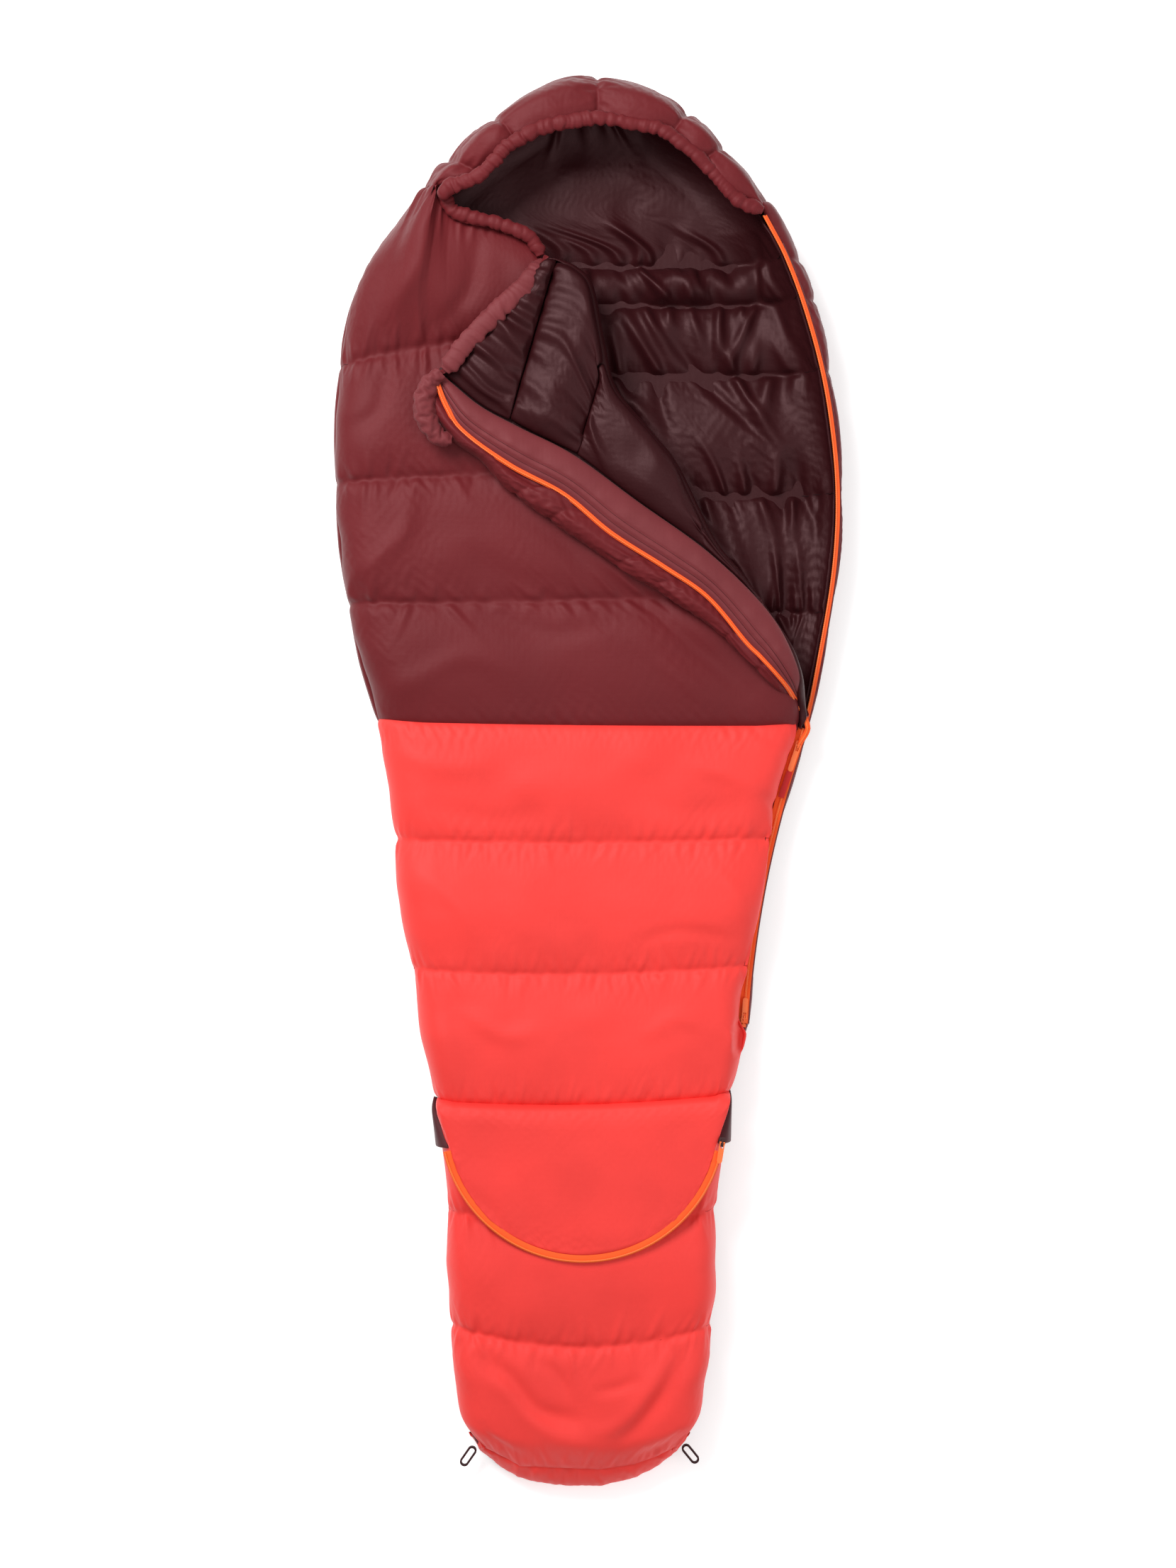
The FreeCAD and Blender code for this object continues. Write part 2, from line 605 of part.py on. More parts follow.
def puller(name, placement, length):
    """A puller: a rounded tongue with a window that holds the slider's crown.

    It turns about X through its own origin and lies toward -Y.
    """
    body = doc.addObject("PartDesign::Body", name)
    half = size("puller_wide") / 2
    bar = size("puller_thick") / 2
    long = size(length)
    tip = -long + half
    geometry = [Part.LineSegment(Vector(-half, tip, 0), Vector(-half, bar, 0)),
                Part.LineSegment(Vector(-half, bar, 0), Vector(half, bar, 0)),
                Part.LineSegment(Vector(half, bar, 0), Vector(half, tip, 0)),
                Part.Arc(Vector(half, tip, 0), Vector(0, -long, 0), Vector(-half, tip, 0))]
    window = half - 1.4
    geometry += polygon([(-window, -bar), (-window, -size("puller_window")),
                         (window, -size("puller_window")), (window, -bar)])
    sketch = sketch_on(body, name + "_sketch", "XY_Plane", geometry,
                       "-Sizes.puller_thick / 2")
    pad(body, sketch, name + "_pad", "Sizes.puller_thick")
    body.Placement = placement
    return keep(body, name)


def facing(ahead):
    """Rotation that turns a piece's own +Y to a level direction."""
    return Rotation(Vector(0, 0, 1), math.degrees(math.atan2(-ahead.x, ahead.y)))


def on_arc(y):
    """Point of the main zip and its direction toward the head."""
    here = Vector(zip_arc_x(y), y, size("zip_z"))
    out = (here - Vector(size("arc_x"), size("arc_y"), size("zip_z"))).normalize()
    return here, Vector(out.y, -out.x, 0)


TOP_SLIDER_Y = ZIP_TOP_Y - 8
LOW_SLIDER_Y = ZIP_LOW_Y + 7
pivot_lift = Vector(0, 0, crown_middle())
top_at, top_ahead = on_arc(TOP_SLIDER_Y)
slider("top_slider", Placement(top_at, facing(top_ahead)))
puller("top_puller", Placement(top_at + pivot_lift, facing(top_ahead)), "puller_long")
low_at, low_ahead = on_arc(LOW_SLIDER_Y)
slider("low_slider", Placement(low_at, facing(low_ahead * -1)))
puller("low_puller", Placement(low_at + pivot_lift, facing(low_ahead * -1)),
       "small_puller_long")
FOOT_SLIDER_ANGLE = -4 - COVER_END
foot_at = polar(CHAIN_RADIUS, FOOT_SLIDER_ANGLE, CHAIN_Z)
turn = math.radians(FOOT_SLIDER_ANGLE)
foot_ahead = Vector(-math.sin(turn), math.cos(turn), 0)
slider("foot_slider", Placement(foot_at, facing(foot_ahead)))
puller("foot_puller", Placement(foot_at + pivot_lift, facing(foot_ahead)),
       "small_puller_long")

# Cloth tab knotted to the top puller, lying on down the zip from its end.
tab_half = size("tab_wide") / 2
tab_body = doc.addObject("PartDesign::Body", "top_pull_tab")
tab_sketch = sketch_on(tab_body, "top_pull_tab_sketch", "XY_Plane",
                       polygon([(-tab_half, 0), (tab_half, 0), (tab_half, -size("tab_long")),
                                (-tab_half, -size("tab_long"))]), "-0.5")
pad(tab_body, tab_sketch, "top_pull_tab_pad", "1")
tab_at = top_at + pivot_lift - top_ahead * (size("puller_long") + GAP / 4)
tab_body.Placement = Placement(tab_at, facing(top_ahead))
keep(tab_body, "top_pull_tab")

# ---------------------------------------------------------------- hang loops
LOOPS = {"left": (-804, Vector(-0.57, -0.82, 0)), "right": (-802, Vector(0.63, -0.77, 0))}


def stadium(radius, length):
    """Outline of a long loop: its near arc is centred on the origin, the far end at -Y."""
    far = -(length - 2 * radius)
    return [Part.Arc(Vector(radius, 0, 0), Vector(0, radius, 0), Vector(-radius, 0, 0)),
            Part.LineSegment(Vector(-radius, 0, 0), Vector(-radius, far, 0)),
            Part.Arc(Vector(-radius, far, 0), Vector(0, far - radius, 0),
                     Vector(radius, far, 0)),
            Part.LineSegment(Vector(radius, far, 0), Vector(radius, 0, 0))]


for side, (y, out) in LOOPS.items():
    name = f"hang_loop_{side}"
    edge_x = edges_at(y)[0 if side == "left" else 1]
    radius = size("loop_wide") / 2
    body = doc.addObject("PartDesign::Body", name)
    inner_length = size("loop_long") - 2 * size("loop_tape")
    rings = stadium(radius, size("loop_long"))
    rings += stadium(radius - size("loop_tape"), inner_length)
    sketch = sketch_on(body, name + "_sketch", "XY_Plane", rings)
    pad(body, sketch, name + "_pad", "Sizes.loop_high")
    start = Vector(edge_x, y, size("loop_z")) + out * (radius + size("loop_gap"))
    body.Placement = Placement(start, facing(out * -1))
    keep(body, name)
    print(name, "starts at", start, "and leaves the edge toward", out)

# ---------------------------------------------------------------- check and write
doc.recompute()
for obj in doc.Objects:
    if "Invalid" in obj.State or "Error" in obj.State:
        raise RuntimeError(f"{obj.Name} failed: {obj.State}")
faulty = [part.Label for part in subparts if part.Shape.isNull() or not part.Shape.isValid()]
if faulty:
    raise RuntimeError(f"no valid shape: {faulty}")
whole = FreeCAD.BoundBox()
for part in subparts:
    part.Shape.exportStep(f"parts/{part.Label}.step")
    whole.add(part.Shape.BoundBox)
    print(f"{part.Label:22s} {part.Shape.Volume / 1000:10.2f} cm3, "
          f"{len(part.Shape.Solids)} solid, {len(part.Shape.Faces)} faces")
print(len(subparts), "sub-parts", whole)
for label, (at, ahead) in {"top": (top_at, top_ahead), "low": (low_at, low_ahead),
                           "foot": (foot_at, foot_ahead)}.items():
    print(label, "slider at", at, "pivot height", at.z + crown_middle(), "ahead", ahead)
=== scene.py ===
"""The looks of a child's mummy sleeping bag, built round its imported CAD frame.

Lengths are millimetres in this script until a mesh is made, which is in metres.
The frame has +X to the zip side, +Y from the foot to the hood, +Z up from the ground.
"""

import json
import math

import bpy
import numpy as np
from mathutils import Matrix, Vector


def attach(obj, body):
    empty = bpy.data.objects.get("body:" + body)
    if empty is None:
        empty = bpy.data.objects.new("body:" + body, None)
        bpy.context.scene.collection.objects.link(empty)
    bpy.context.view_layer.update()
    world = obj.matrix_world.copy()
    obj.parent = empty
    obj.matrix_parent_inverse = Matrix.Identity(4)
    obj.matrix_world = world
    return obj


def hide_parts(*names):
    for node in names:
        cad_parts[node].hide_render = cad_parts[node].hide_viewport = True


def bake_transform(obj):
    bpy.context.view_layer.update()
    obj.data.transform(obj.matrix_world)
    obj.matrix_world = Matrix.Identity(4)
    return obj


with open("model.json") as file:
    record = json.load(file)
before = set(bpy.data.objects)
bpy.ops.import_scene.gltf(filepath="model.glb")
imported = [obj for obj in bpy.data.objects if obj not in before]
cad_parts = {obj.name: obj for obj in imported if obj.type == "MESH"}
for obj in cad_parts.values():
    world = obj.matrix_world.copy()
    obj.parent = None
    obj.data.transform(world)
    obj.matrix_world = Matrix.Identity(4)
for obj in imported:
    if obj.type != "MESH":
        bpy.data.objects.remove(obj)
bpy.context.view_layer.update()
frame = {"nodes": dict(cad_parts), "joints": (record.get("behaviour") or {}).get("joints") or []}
MM = 0.001
NODES = frame["nodes"]


# ---------------------------------------------------------------- camera, light, floor
def add(name, data):
    """A new object in the scene."""
    thing = bpy.data.objects.new(name, data)
    bpy.context.scene.collection.objects.link(thing)
    return thing


def set_values(node, values):
    """Set a shader node's inputs."""
    for socket, value in values.items():
        node.inputs[socket].default_value = value


def new_material(name, values):
    """A material with its main shader's values, its nodes and its link function."""
    material = bpy.data.materials.new(name)
    material.use_nodes = True
    tree = material.node_tree
    set_values(tree.nodes["Principled BSDF"], values)
    return material, tree.nodes, tree.links.new


def look_down():
    """Camera straight above the bag, upright in the frame."""
    camera = add("camera", bpy.data.cameras.new("camera"))
    camera.data.lens = 60
    camera.data.sensor_fit = "VERTICAL"
    camera.data.sensor_height = 36
    camera.location = (0.0013, -0.0004, 3.20)
    bpy.context.scene.camera = camera
    bpy.context.scene.view_settings.view_transform = "Standard"


def area_light(name, place, aim, power, wide, tall):
    """A soft box that faces a point."""
    data = bpy.data.lights.new(name, "AREA")
    data.shape = "RECTANGLE"
    data.size, data.size_y, data.energy = wide, tall, power
    lamp = add(name, data)
    lamp.location = place
    lamp.rotation_euler = (Vector(aim) - Vector(place)).to_track_quat("-Z", "Y").to_euler()


def studio():
    """Pale floor and soft light from the head end and both sides."""
    area_light("key", (-1.3, 1.7, 2.3), (0, 0.1, 0), 80, 1.3, 1.3)
    area_light("fill", (1.8, -0.6, 2.2), (0, 0, 0), 18, 1.8, 2.4)
    area_light("top", (0, 0.2, 3.6), (0, 0, 0), 12, 2.2, 3.0)
    world = bpy.data.worlds.new("studio")
    world.use_nodes = True
    set_values(world.node_tree.nodes["Background"], {"Color": (1, 1, 1, 1), "Strength": 0.46})
    bpy.context.scene.world = world
    mesh = bpy.data.meshes.new("floor")
    far = 6.0
    corners = [(-far, -far, 0), (far, -far, 0), (far, far, 0), (-far, far, 0)]
    mesh.from_pydata(corners, [], [(0, 1, 2, 3)])
    mesh.materials.append(new_material("floor", {
        "Base Color": (0.93, 0.93, 0.93, 1), "Roughness": 0.9,
        "Emission Color": (1, 1, 1, 1), "Emission Strength": 0.38})[0])
    floor = add("floor", mesh)
    floor.location.z = -0.0005


# ---------------------------------------------------------------- materials
def texture(nodes, link, kind, values):
    """A procedural texture in the object's own coordinates."""
    node = nodes.new("ShaderNodeTex" + kind)
    set_values(node, values)
    link(nodes.new("ShaderNodeTexCoord").outputs["Object"], node.inputs["Vector"])
    return node


def tone(nodes, link, strength, colour, dark, light, ends):
    """Base colour that runs from a darker to a lighter tone with a texture's strength."""
    ramp = nodes.new("ShaderNodeValToRGB")
    for stop, share, at in zip(ramp.color_ramp.elements, (dark, light), ends):
        stop.position = at
        stop.color = (*[min(1, c * share) for c in colour], 1)
    link(strength, ramp.inputs["Fac"])
    link(ramp.outputs["Color"], nodes["Principled BSDF"].inputs["Base Color"])


def relief(nodes, link, height, strength, distance):
    """Bump on the main shader."""
    node = nodes.new("ShaderNodeBump")
    set_values(node, {"Strength": strength, "Distance": distance})
    link(height, node.inputs["Height"])
    link(node.outputs["Normal"], nodes["Principled BSDF"].inputs["Normal"])


def cloth_material(name, colour, rough=0.42, sheen=0.25, weave=0.35, shine=0.3):
    """Woven polyester: a fine weave in the bump, faint cloudy tone and a satin shine."""
    material, nodes, link = new_material(name, {
        "Roughness": rough, "Sheen Weight": sheen, "Sheen Roughness": 0.4,
        "Specular IOR Level": shine, "Specular Tint": (1, 0.62, 0.64, 1)})
    cloud = texture(nodes, link, "Noise", {"Scale": 9, "Detail": 4})
    tone(nodes, link, cloud.outputs["Fac"], colour, 0.94, 1.06, (0.3, 0.7))
    both = nodes.new("ShaderNodeMath")
    both.operation = "MULTIPLY"
    for socket, way in enumerate("XY"):
        wave = texture(nodes, link, "Wave", {"Scale": 320, "Distortion": 0.4})
        wave.wave_type, wave.bands_direction = "BANDS", way
        link(wave.outputs["Fac"], both.inputs[socket])
    crush = texture(nodes, link, "Noise", {"Scale": 70, "Detail": 3})
    total = nodes.new("ShaderNodeMath")
    total.operation = "MULTIPLY_ADD"
    total.inputs[1].default_value = 0.25
    link(both.outputs["Value"], total.inputs[0])
    link(crush.outputs["Fac"], total.inputs[2])
    relief(nodes, link, total.outputs["Value"], weave, 0.0012)
    return material


def hard_material(name, colour, rough, metal=0.0):
    """Moulded plastic or painted metal with a faint grain."""
    material, nodes, link = new_material(name, {
        "Base Color": (*colour, 1), "Roughness": rough, "Metallic": metal})
    grain = texture(nodes, link, "Noise", {"Scale": 900})
    tone(nodes, link, grain.outputs["Fac"], colour, 0.85, 1.1, (0, 1))
    relief(nodes, link, grain.outputs["Fac"], 0.15, 0.0003)
    return material


MAROON = cloth_material("maroon_taffeta", (0.132, 0.013, 0.016), rough=0.46, sheen=0.03,
                        shine=0.24)
RED = cloth_material("red_taffeta", (0.84, 0.05, 0.042), rough=0.48, sheen=0.03)
LINING = cloth_material("dark_lining", (0.029, 0.0048, 0.006), rough=0.38, sheen=0.0, shine=0.26)
DARK = cloth_material("dark_tab", (0.06, 0.012, 0.015), rough=0.5, sheen=0.05)
BINDING = cloth_material("maroon_binding", (0.16, 0.026, 0.03), rough=0.5, sheen=0.08)
TAPE = cloth_material("orange_tape", (0.95, 0.115, 0.02), rough=0.6, sheen=0.1, weave=0.6)
WEBBING = cloth_material("dark_webbing", (0.03, 0.008, 0.009), rough=0.6, sheen=0.1)
PULL_CLOTH = cloth_material("red_pull_cloth", (0.5, 0.02, 0.02), rough=0.55, sheen=0.1)
# Thread colours are darker than their cloth: real stitching, with painted shade of the seam
# creases added to its colour.
RED_THREAD_AND_SEAM_SHADE = cloth_material("red_thread_and_seam_shade", (0.50, 0.018, 0.016), rough=0.6, sheen=0.0)
DARK_THREAD_AND_SEAM_SHADE = cloth_material("dark_thread_and_seam_shade", (0.040, 0.004, 0.005), rough=0.6, sheen=0.0)
LINING_THREAD_AND_SEAM_SHADE = cloth_material("lining_thread_and_seam_shade", (0.012, 0.002, 0.003), rough=0.6, sheen=0.0)
COIL = hard_material("orange_coil", (1.0, 0.16, 0.02), 0.35)
SLIDER = hard_material("slider_enamel", (0.9, 0.13, 0.02), 0.35, 0.3)
PULLER = hard_material("orange_puller", (0.95, 0.17, 0.03), 0.4)
DARK_SLIDER = hard_material("dark_slider", (0.05, 0.012, 0.014), 0.4, 0.2)


# ---------------------------------------------------------------- readings from the frame
def vertices(node):
    """A CAD node's points, in millimetres."""
    return np.array([v.co[:] for v in NODES[node].data.vertices]) / MM


def side_reader(names, side):
    """x of the outline of some flat nodes, as a function of y."""
    points = np.vstack([vertices(name) for name in names])
    keep = points[:, 0] < 6 if side == "left" else points[:, 0] > 6
    points = points[keep]
    ys = np.unique(np.round(points[:, 1], 1))
    pick = np.min if side == "left" else np.max
    xs = np.array([pick(points[np.abs(points[:, 1] - y) < 0.06, 0]) for y in ys])
    return lambda y: np.interp(y, ys, xs)


left_edge = side_reader(["back_shell", "foot_back_shell"], "left")
right_edge = side_reader(["back_shell", "foot_back_shell"], "right")


def outline(ys):
    """The bag's left and right outlines at some heights up it."""
    return np.stack([left_edge(ys), ys], 1), np.stack([right_edge(ys), ys], 1)


def line_reader(node, axis):
    """x or z of the middle of a long node, as a function of y."""
    points = vertices(node)
    ys = np.unique(np.round(points[:, 1] / 8)) * 8
    found = []
    for y in ys:
        near = points[np.abs(points[:, 1] - y) < 9]
        if len(near):
            found.append((near[:, 1].mean(), near[:, axis].mean()))
    found = np.array(sorted(found))
    return lambda y: np.interp(y, found[:, 0], found[:, 1])


chain_x = line_reader("back_zip_coil", 0)
zip_z = line_reader("back_zip_coil", 2)


def zip_x(y):
    """x of the back half's zip, a little inside the middle of its coil."""
    return chain_x(y) - 1.3


CHAIN_TOP = vertices("front_zip_coil")[:, 1].max()
CHAIN_LOW = vertices("front_zip_coil")[:, 1].min()
joint = {j["name"]: j for j in frame["joints"]}
COVER_Y = joint["cover_lift"]["pos_m"][1] / MM
COVER_X = joint["foot_slider_travel"]["pos_m"][0] / MM
CHAIN_RADIUS = COVER_Y - vertices("cover_zip_coil")[:, 1].min()
ZIP_END = 664                            # y where the back half's zip meets the hood
SEAM_Z = 41.0                            # height of the side seam
FOOT_BEND = ("bag", "foot", (0, -0.555, 0.05), (0, -0.595, 0.05))
TONGUE_BEND = ("bag", "cover_flap", (0, -0.385, 0.09), (0, -0.415, 0.09))


# ---------------------------------------------------------------- grids of cloth
def smooth(a, b, x):
    """0 below a, 1 above b, smooth between."""
    t = np.clip((np.asarray(x, float) - a) / (b - a), 0, 1)
    return t * t * (3 - 2 * t)


def unit(v):
    """Vectors brought to length 1."""
    return v / np.linalg.norm(v, axis=-1, keepdims=True)


def heading(line):
    """Direction of a line at each of its points."""
    return unit(np.gradient(line, axis=0))


def right_of(ahead):
    """Plan directions to the right of some headings."""
    return np.stack([ahead[:, 1], -ahead[:, 0]], 1)


def gaps(line):
    """Distances between a line's points."""
    return np.linalg.norm(np.diff(line, axis=0), axis=1)


def resample(points, count):
    """A polyline's points at even steps of its length."""
    points = np.asarray(points, float)
    steps = np.r_[0, np.cumsum(gaps(points))]
    even = np.linspace(0, steps[-1], count)
    return np.stack([np.interp(even, steps, points[:, k]) for k in range(points.shape[1])], 1)


def curve(points, count):
    """A smooth route through given points, evenly sampled."""
    points = np.asarray(points, float)
    padded = np.vstack([2 * points[0] - points[1], points, 2 * points[-1] - points[-2]])
    fine = []
    for i in range(len(points) - 1):
        a, b, c, d = padded[i:i + 4]
        t = np.linspace(0, 1, 24, endpoint=False)[:, None]
        fine.append(0.5 * (2 * b + (c - a) * t + (2 * a - 5 * b + 4 * c - d) * t ** 2
                           + (3 * b - a - 3 * c + d) * t ** 3))
    fine.append(points[-1:])
    return resample(np.vstack(fine), count)


def normals(P):
    """Unit normals of a grid of points."""
    du = np.gradient(P, axis=1)
    dv = np.gradient(P, axis=0)
    n = np.cross(du, dv)
    return n / np.maximum(np.linalg.norm(n, axis=2, keepdims=True), 1e-9)


def noise_grid(shape, cells, seed, octaves=2):
    """Smooth random grid between -1 and 1 with about cells features each way."""
    source = np.random.default_rng(seed)
    total = np.zeros(shape)
    for octave in range(octaves):
        rows = max(2, int(cells[0] * 2 ** octave)) + 3
        cols = max(2, int(cells[1] * 2 ** octave)) + 3
        coarse = source.uniform(-1, 1, (rows, cols))
        y = np.linspace(0, rows - 3.001, shape[0])
        x = np.linspace(0, cols - 3.001, shape[1])
        yi, xi = y.astype(int), x.astype(int)
        ty, tx = (y - yi)[:, None], (x - xi)[None, :]
        ty, tx = ty * ty * (3 - 2 * ty), tx * tx * (3 - 2 * tx)
        a = coarse[np.ix_(yi, xi)]
        b = coarse[np.ix_(yi, xi + 1)]
        c = coarse[np.ix_(yi + 1, xi)]
        d = coarse[np.ix_(yi + 1, xi + 1)]
        upper, lower = a * (1 - tx) + b * tx, c * (1 - tx) + d * tx
        total += (upper * (1 - ty) + lower * ty) * 0.5 ** octave
    return total


GLIDE = 0.85                             # share of its speed the cloth keeps each step


def relax(P, pinned, more_u, more_v, steps=110, hold=0.02, bend=0.25, seed=1, start=1.2,
          low=0.6, cells=(5, 5), broad=0.0):
    """Cloth cut larger than its place settles into wrinkles.

    P is the grid at rest, pinned marks sewn points, more_u and more_v say how much longer the
    cloth is than its place, along the columns' and the rows' direction.
    """
    base = P.astype(np.float64)
    weight = (~pinned).astype(float)
    rough = noise_grid(P.shape[:2], (P.shape[0] / cells[0], P.shape[1] / cells[1]), seed)
    X = base + normals(base) * (rough * start * weight)[..., None]
    whole = slice(None)
    pairs = []

    def tie(a, b, grow, stiff):
        rest = np.linalg.norm(base[b] - base[a], axis=2) * (1 + grow)
        share = weight[a] + weight[b]
        share[share == 0] = 1
        pairs.append((a, b, rest, (weight[a] / share * stiff)[..., None],
                      (weight[b] / share * stiff)[..., None]))

    def mean(field, a, b):
        return 0.5 * (field[a] + field[b])

    def springs(reach, groups, share, stiff):
        for first in range(groups):
            a, b = slice(first, -reach, groups), slice(first + reach, None, groups)
            for more, here, there in ((more_u, (whole, a), (whole, b)),
                                      (more_v, (a, whole), (b, whole))):
                tie(here, there, mean(more, here, there) * share, stiff)

    springs(1, 2, 1.0, 1.0)
    for first in (0, 1):
        for lean in (0, 1):
            cols = (slice(0, -1), slice(1, None))
            a, b = (slice(first, -1, 2), cols[lean]), (slice(first + 1, None, 2), cols[1 - lean])
            tie(a, b, 0.5 * (mean(more_u, a, b) + mean(more_v, a, b)), 0.25)
    springs(2, 4, 0.55, bend)
    if broad:
        springs(4, 4, 0.75, broad)
    speed = np.zeros_like(X)
    for _ in range(steps):
        before = X.copy()
        X = X + speed * GLIDE + (base - X) * (hold * weight)[..., None]
        for a, b, rest, ka, kb in pairs:
            gap = X[b] - X[a]
            far = np.maximum(np.linalg.norm(gap, axis=2), 1e-6)
            push = gap * ((far - rest) / far)[..., None]
            X[a] += push * ka
            X[b] -= push * kb
        X[..., 2] = np.maximum(X[..., 2], low)
        X[pinned] = base[pinned]
        speed = X - before
    return X


# ---------------------------------------------------------------- pieces from grids
def mesh_piece(name, points, faces, material):
    """A smooth-shaded object from points in millimetres."""
    mesh = bpy.data.meshes.new(name)
    mesh.from_pydata((np.asarray(points) * MM).tolist(), [], faces)
    mesh.polygons.foreach_set("use_smooth", np.ones(len(mesh.polygons), bool))
    mesh.materials.append(material)
    return add(name, mesh)


def refined(piece):
    """The piece with its mesh subdivided once."""
    subdivide = piece.modifiers.new("refine", "SUBSURF")
    subdivide.levels = subdivide.render_levels = 1
    view = bpy.context.evaluated_depsgraph_get()
    view.update()
    final = bpy.data.meshes.new_from_object(piece.evaluated_get(view))
    piece.modifiers.clear()
    piece.data = final
    return piece


def quads_between(index):
    """Faces of a grid of point numbers."""
    quads = np.stack([index[:-1, :-1], index[:-1, 1:], index[1:, 1:], index[1:, :-1]], -1)
    return quads.reshape(-1, 4)


def cloth_piece(name, P, material, back, back_material=None, lips=(0, 0)):
    """A piece from a grid of points in millimetres, closed by a second grid behind it.

    lips are how far the cloth turns in under its neighbour at its first and last row.
    """
    if lips != (0, 0):
        n = normals(P)
        first = P[:1] + (P[:1] - P[1:2]) * 0.5 - n[:1] * 4
        last = P[-1:] + (P[-1:] - P[-2:-1]) * 0.5 - n[-1:] * 4
        first[..., 1] -= lips[0]
        last[..., 1] += lips[1]
        P = np.concatenate([first] * bool(lips[0]) + [P] + [last] * bool(lips[1]))
        back = np.concatenate([back[:1] - (0, lips[0], 0)] * bool(lips[0]) + [back]
                              + [back[-1:] + (0, lips[1], 0)] * bool(lips[1]))
    index = np.arange(P.shape[0] * P.shape[1]).reshape(P.shape[:2])
    behind = index + index.size
    front, hidden = quads_between(index), quads_between(behind)[:, ::-1]
    rim = [quads_between(np.array([far, near])) for near, far in (
        (index[0], behind[0]), (index[:, -1], behind[:, -1]),
        (index[-1, ::-1], behind[-1, ::-1]), (index[::-1, 0], behind[::-1, 0]))]
    quads = np.vstack([front, hidden] + rim)
    piece = mesh_piece(name, np.vstack([P.reshape(-1, 3), back.reshape(-1, 3)]), quads.tolist(),
                       material)
    if back_material:
        piece.data.materials.append(back_material)
        which = np.zeros(len(quads), np.int32)
        which[len(front):len(front) + len(hidden)] = 1
        piece.data.polygons.foreach_set("material_index", which)
    return refined(piece)


def ring_points(line, side, up, wide, tall):
    """Rings of points round a line, from their reach to the side and upward."""
    return line[:, None] + side[:, None] * wide[..., None] + up[:, None] * tall[..., None]


def closed_tube(name, tubes, material):
    """One piece of tubes with filled ends, each from rings of points."""
    points, faces = [], []
    for P in tubes:
        rows, cols = P.shape[:2]
        index = np.arange(rows * cols).reshape(rows, cols) + len(points)
        index = np.hstack([index, index[:, :1]])
        quads = np.stack([index[:-1, :-1], index[1:, :-1], index[1:, 1:], index[:-1, 1:]], -1)
        faces += quads.reshape(-1, 4).tolist()
        points += P.reshape(-1, 3).tolist()
        for row, turned in ((0, False), (rows - 1, True)):
            centre = len(points)
            points.append(P[row].mean(0).tolist())
            for a, b in zip(index[row], index[row][1:]):
                a, b = (b, a) if turned else (a, b)
                faces.append((centre, int(a), int(b)))
    return mesh_piece(name, points, faces, material)


def dress(piece, slot, body, nodes=()):
    """Attach a piece to its body and hide the CAD nodes it stands for; slot is not used.

    body is a name, or (body, body, start, end), for which the piece is only baked where it stands.
    """
    if isinstance(body, str):
        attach(piece, body)
    else:
        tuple(body[2])
        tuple(body[3])
        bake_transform(piece)
    if nodes:
        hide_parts(*nodes)


def stitching(name, lines, material, slot, body, radius=0.6):
    """Thread along sewn lines, half sunk in the cloth. A line is (points, normals)."""
    angle = np.linspace(0, 2 * math.pi, 6, endpoint=False)[None]
    tubes = [ring_points(line, unit(np.cross(heading(line), n)), n, np.cos(angle) * radius,
                         np.sin(angle) * radius) for line, n in lines]
    dress(closed_tube(name, tubes, material), slot, body)


# ---------------------------------------------------------------- quilting
def seam_lines(X, seams):
    """Lines of thread along a quilt's inner seams."""
    n = normals(X)
    return [(X[row], n[row]) for row in seams[1:-1]]


def puff(place):
    """How full a chamber is at each row: 0 on the seams, 1 between them."""
    return np.sin(math.pi * place) ** 0.62


def run_up(P):
    """Distance of each row of a grid from its first, measured on the grid."""
    return np.r_[0, np.cumsum(np.linalg.norm(np.diff(P, axis=0), axis=2).mean(1))]


def pleats(P, seams, size, reach, spacing, seed):
    """Folds that run out from the seams where stitching gathers the cloth."""
    rows, cols = P.shape[:2]
    across = np.arange(cols) * np.linalg.norm(np.diff(P, axis=1), axis=2).mean()
    along = run_up(P)
    source = np.random.default_rng(seed)
    H = np.zeros((rows, cols))
    for number, seam in enumerate(seams):
        for side in (-1, 1):
            other = number + side
            if not 0 <= other < len(seams):
                continue
            these = np.arange(min(seam, seams[other]), max(seam, seams[other]) + 1)
            away = np.abs(along[these] - along[seam])[:, None]
            rest = np.abs(along[these] - along[seams[other]])[:, None]
            at = source.uniform(0, spacing)
            while at < across[-1]:
                tall = size * source.uniform(0.35, 1.0) * source.choice([1, 1, -0.7])
                far = reach * source.uniform(0.35, 1.5)
                wide = spacing * source.uniform(0.15, 0.3) * (1 + away / far * 0.7)
                middle = at + source.normal(0, 0.22) * away
                ramp = smooth(0, 5, away) * smooth(0, 8, rest) * np.exp(-(away / far) ** 2)
                H[these] += tall * ramp * np.exp(-((across[None] - middle) / wide) ** 2)
                at += spacing * source.uniform(0.5, 1.6)
    return H


def soft_folds(P, folds):
    """Height of broad folds: each a plan route, a half-width and a height."""
    H = np.zeros(P.shape[:2])
    for route, wide, tall in folds:
        line = curve(route, 30)
        share = np.sin(math.pi * np.linspace(0.06, 0.94, 30)) ** 0.6
        away = np.hypot(P[..., None, 0] - line[:, 0], P[..., None, 1] - line[:, 1])
        H += tall * (np.exp(-(away / wide) ** 2) * share).max(-1)
    return H


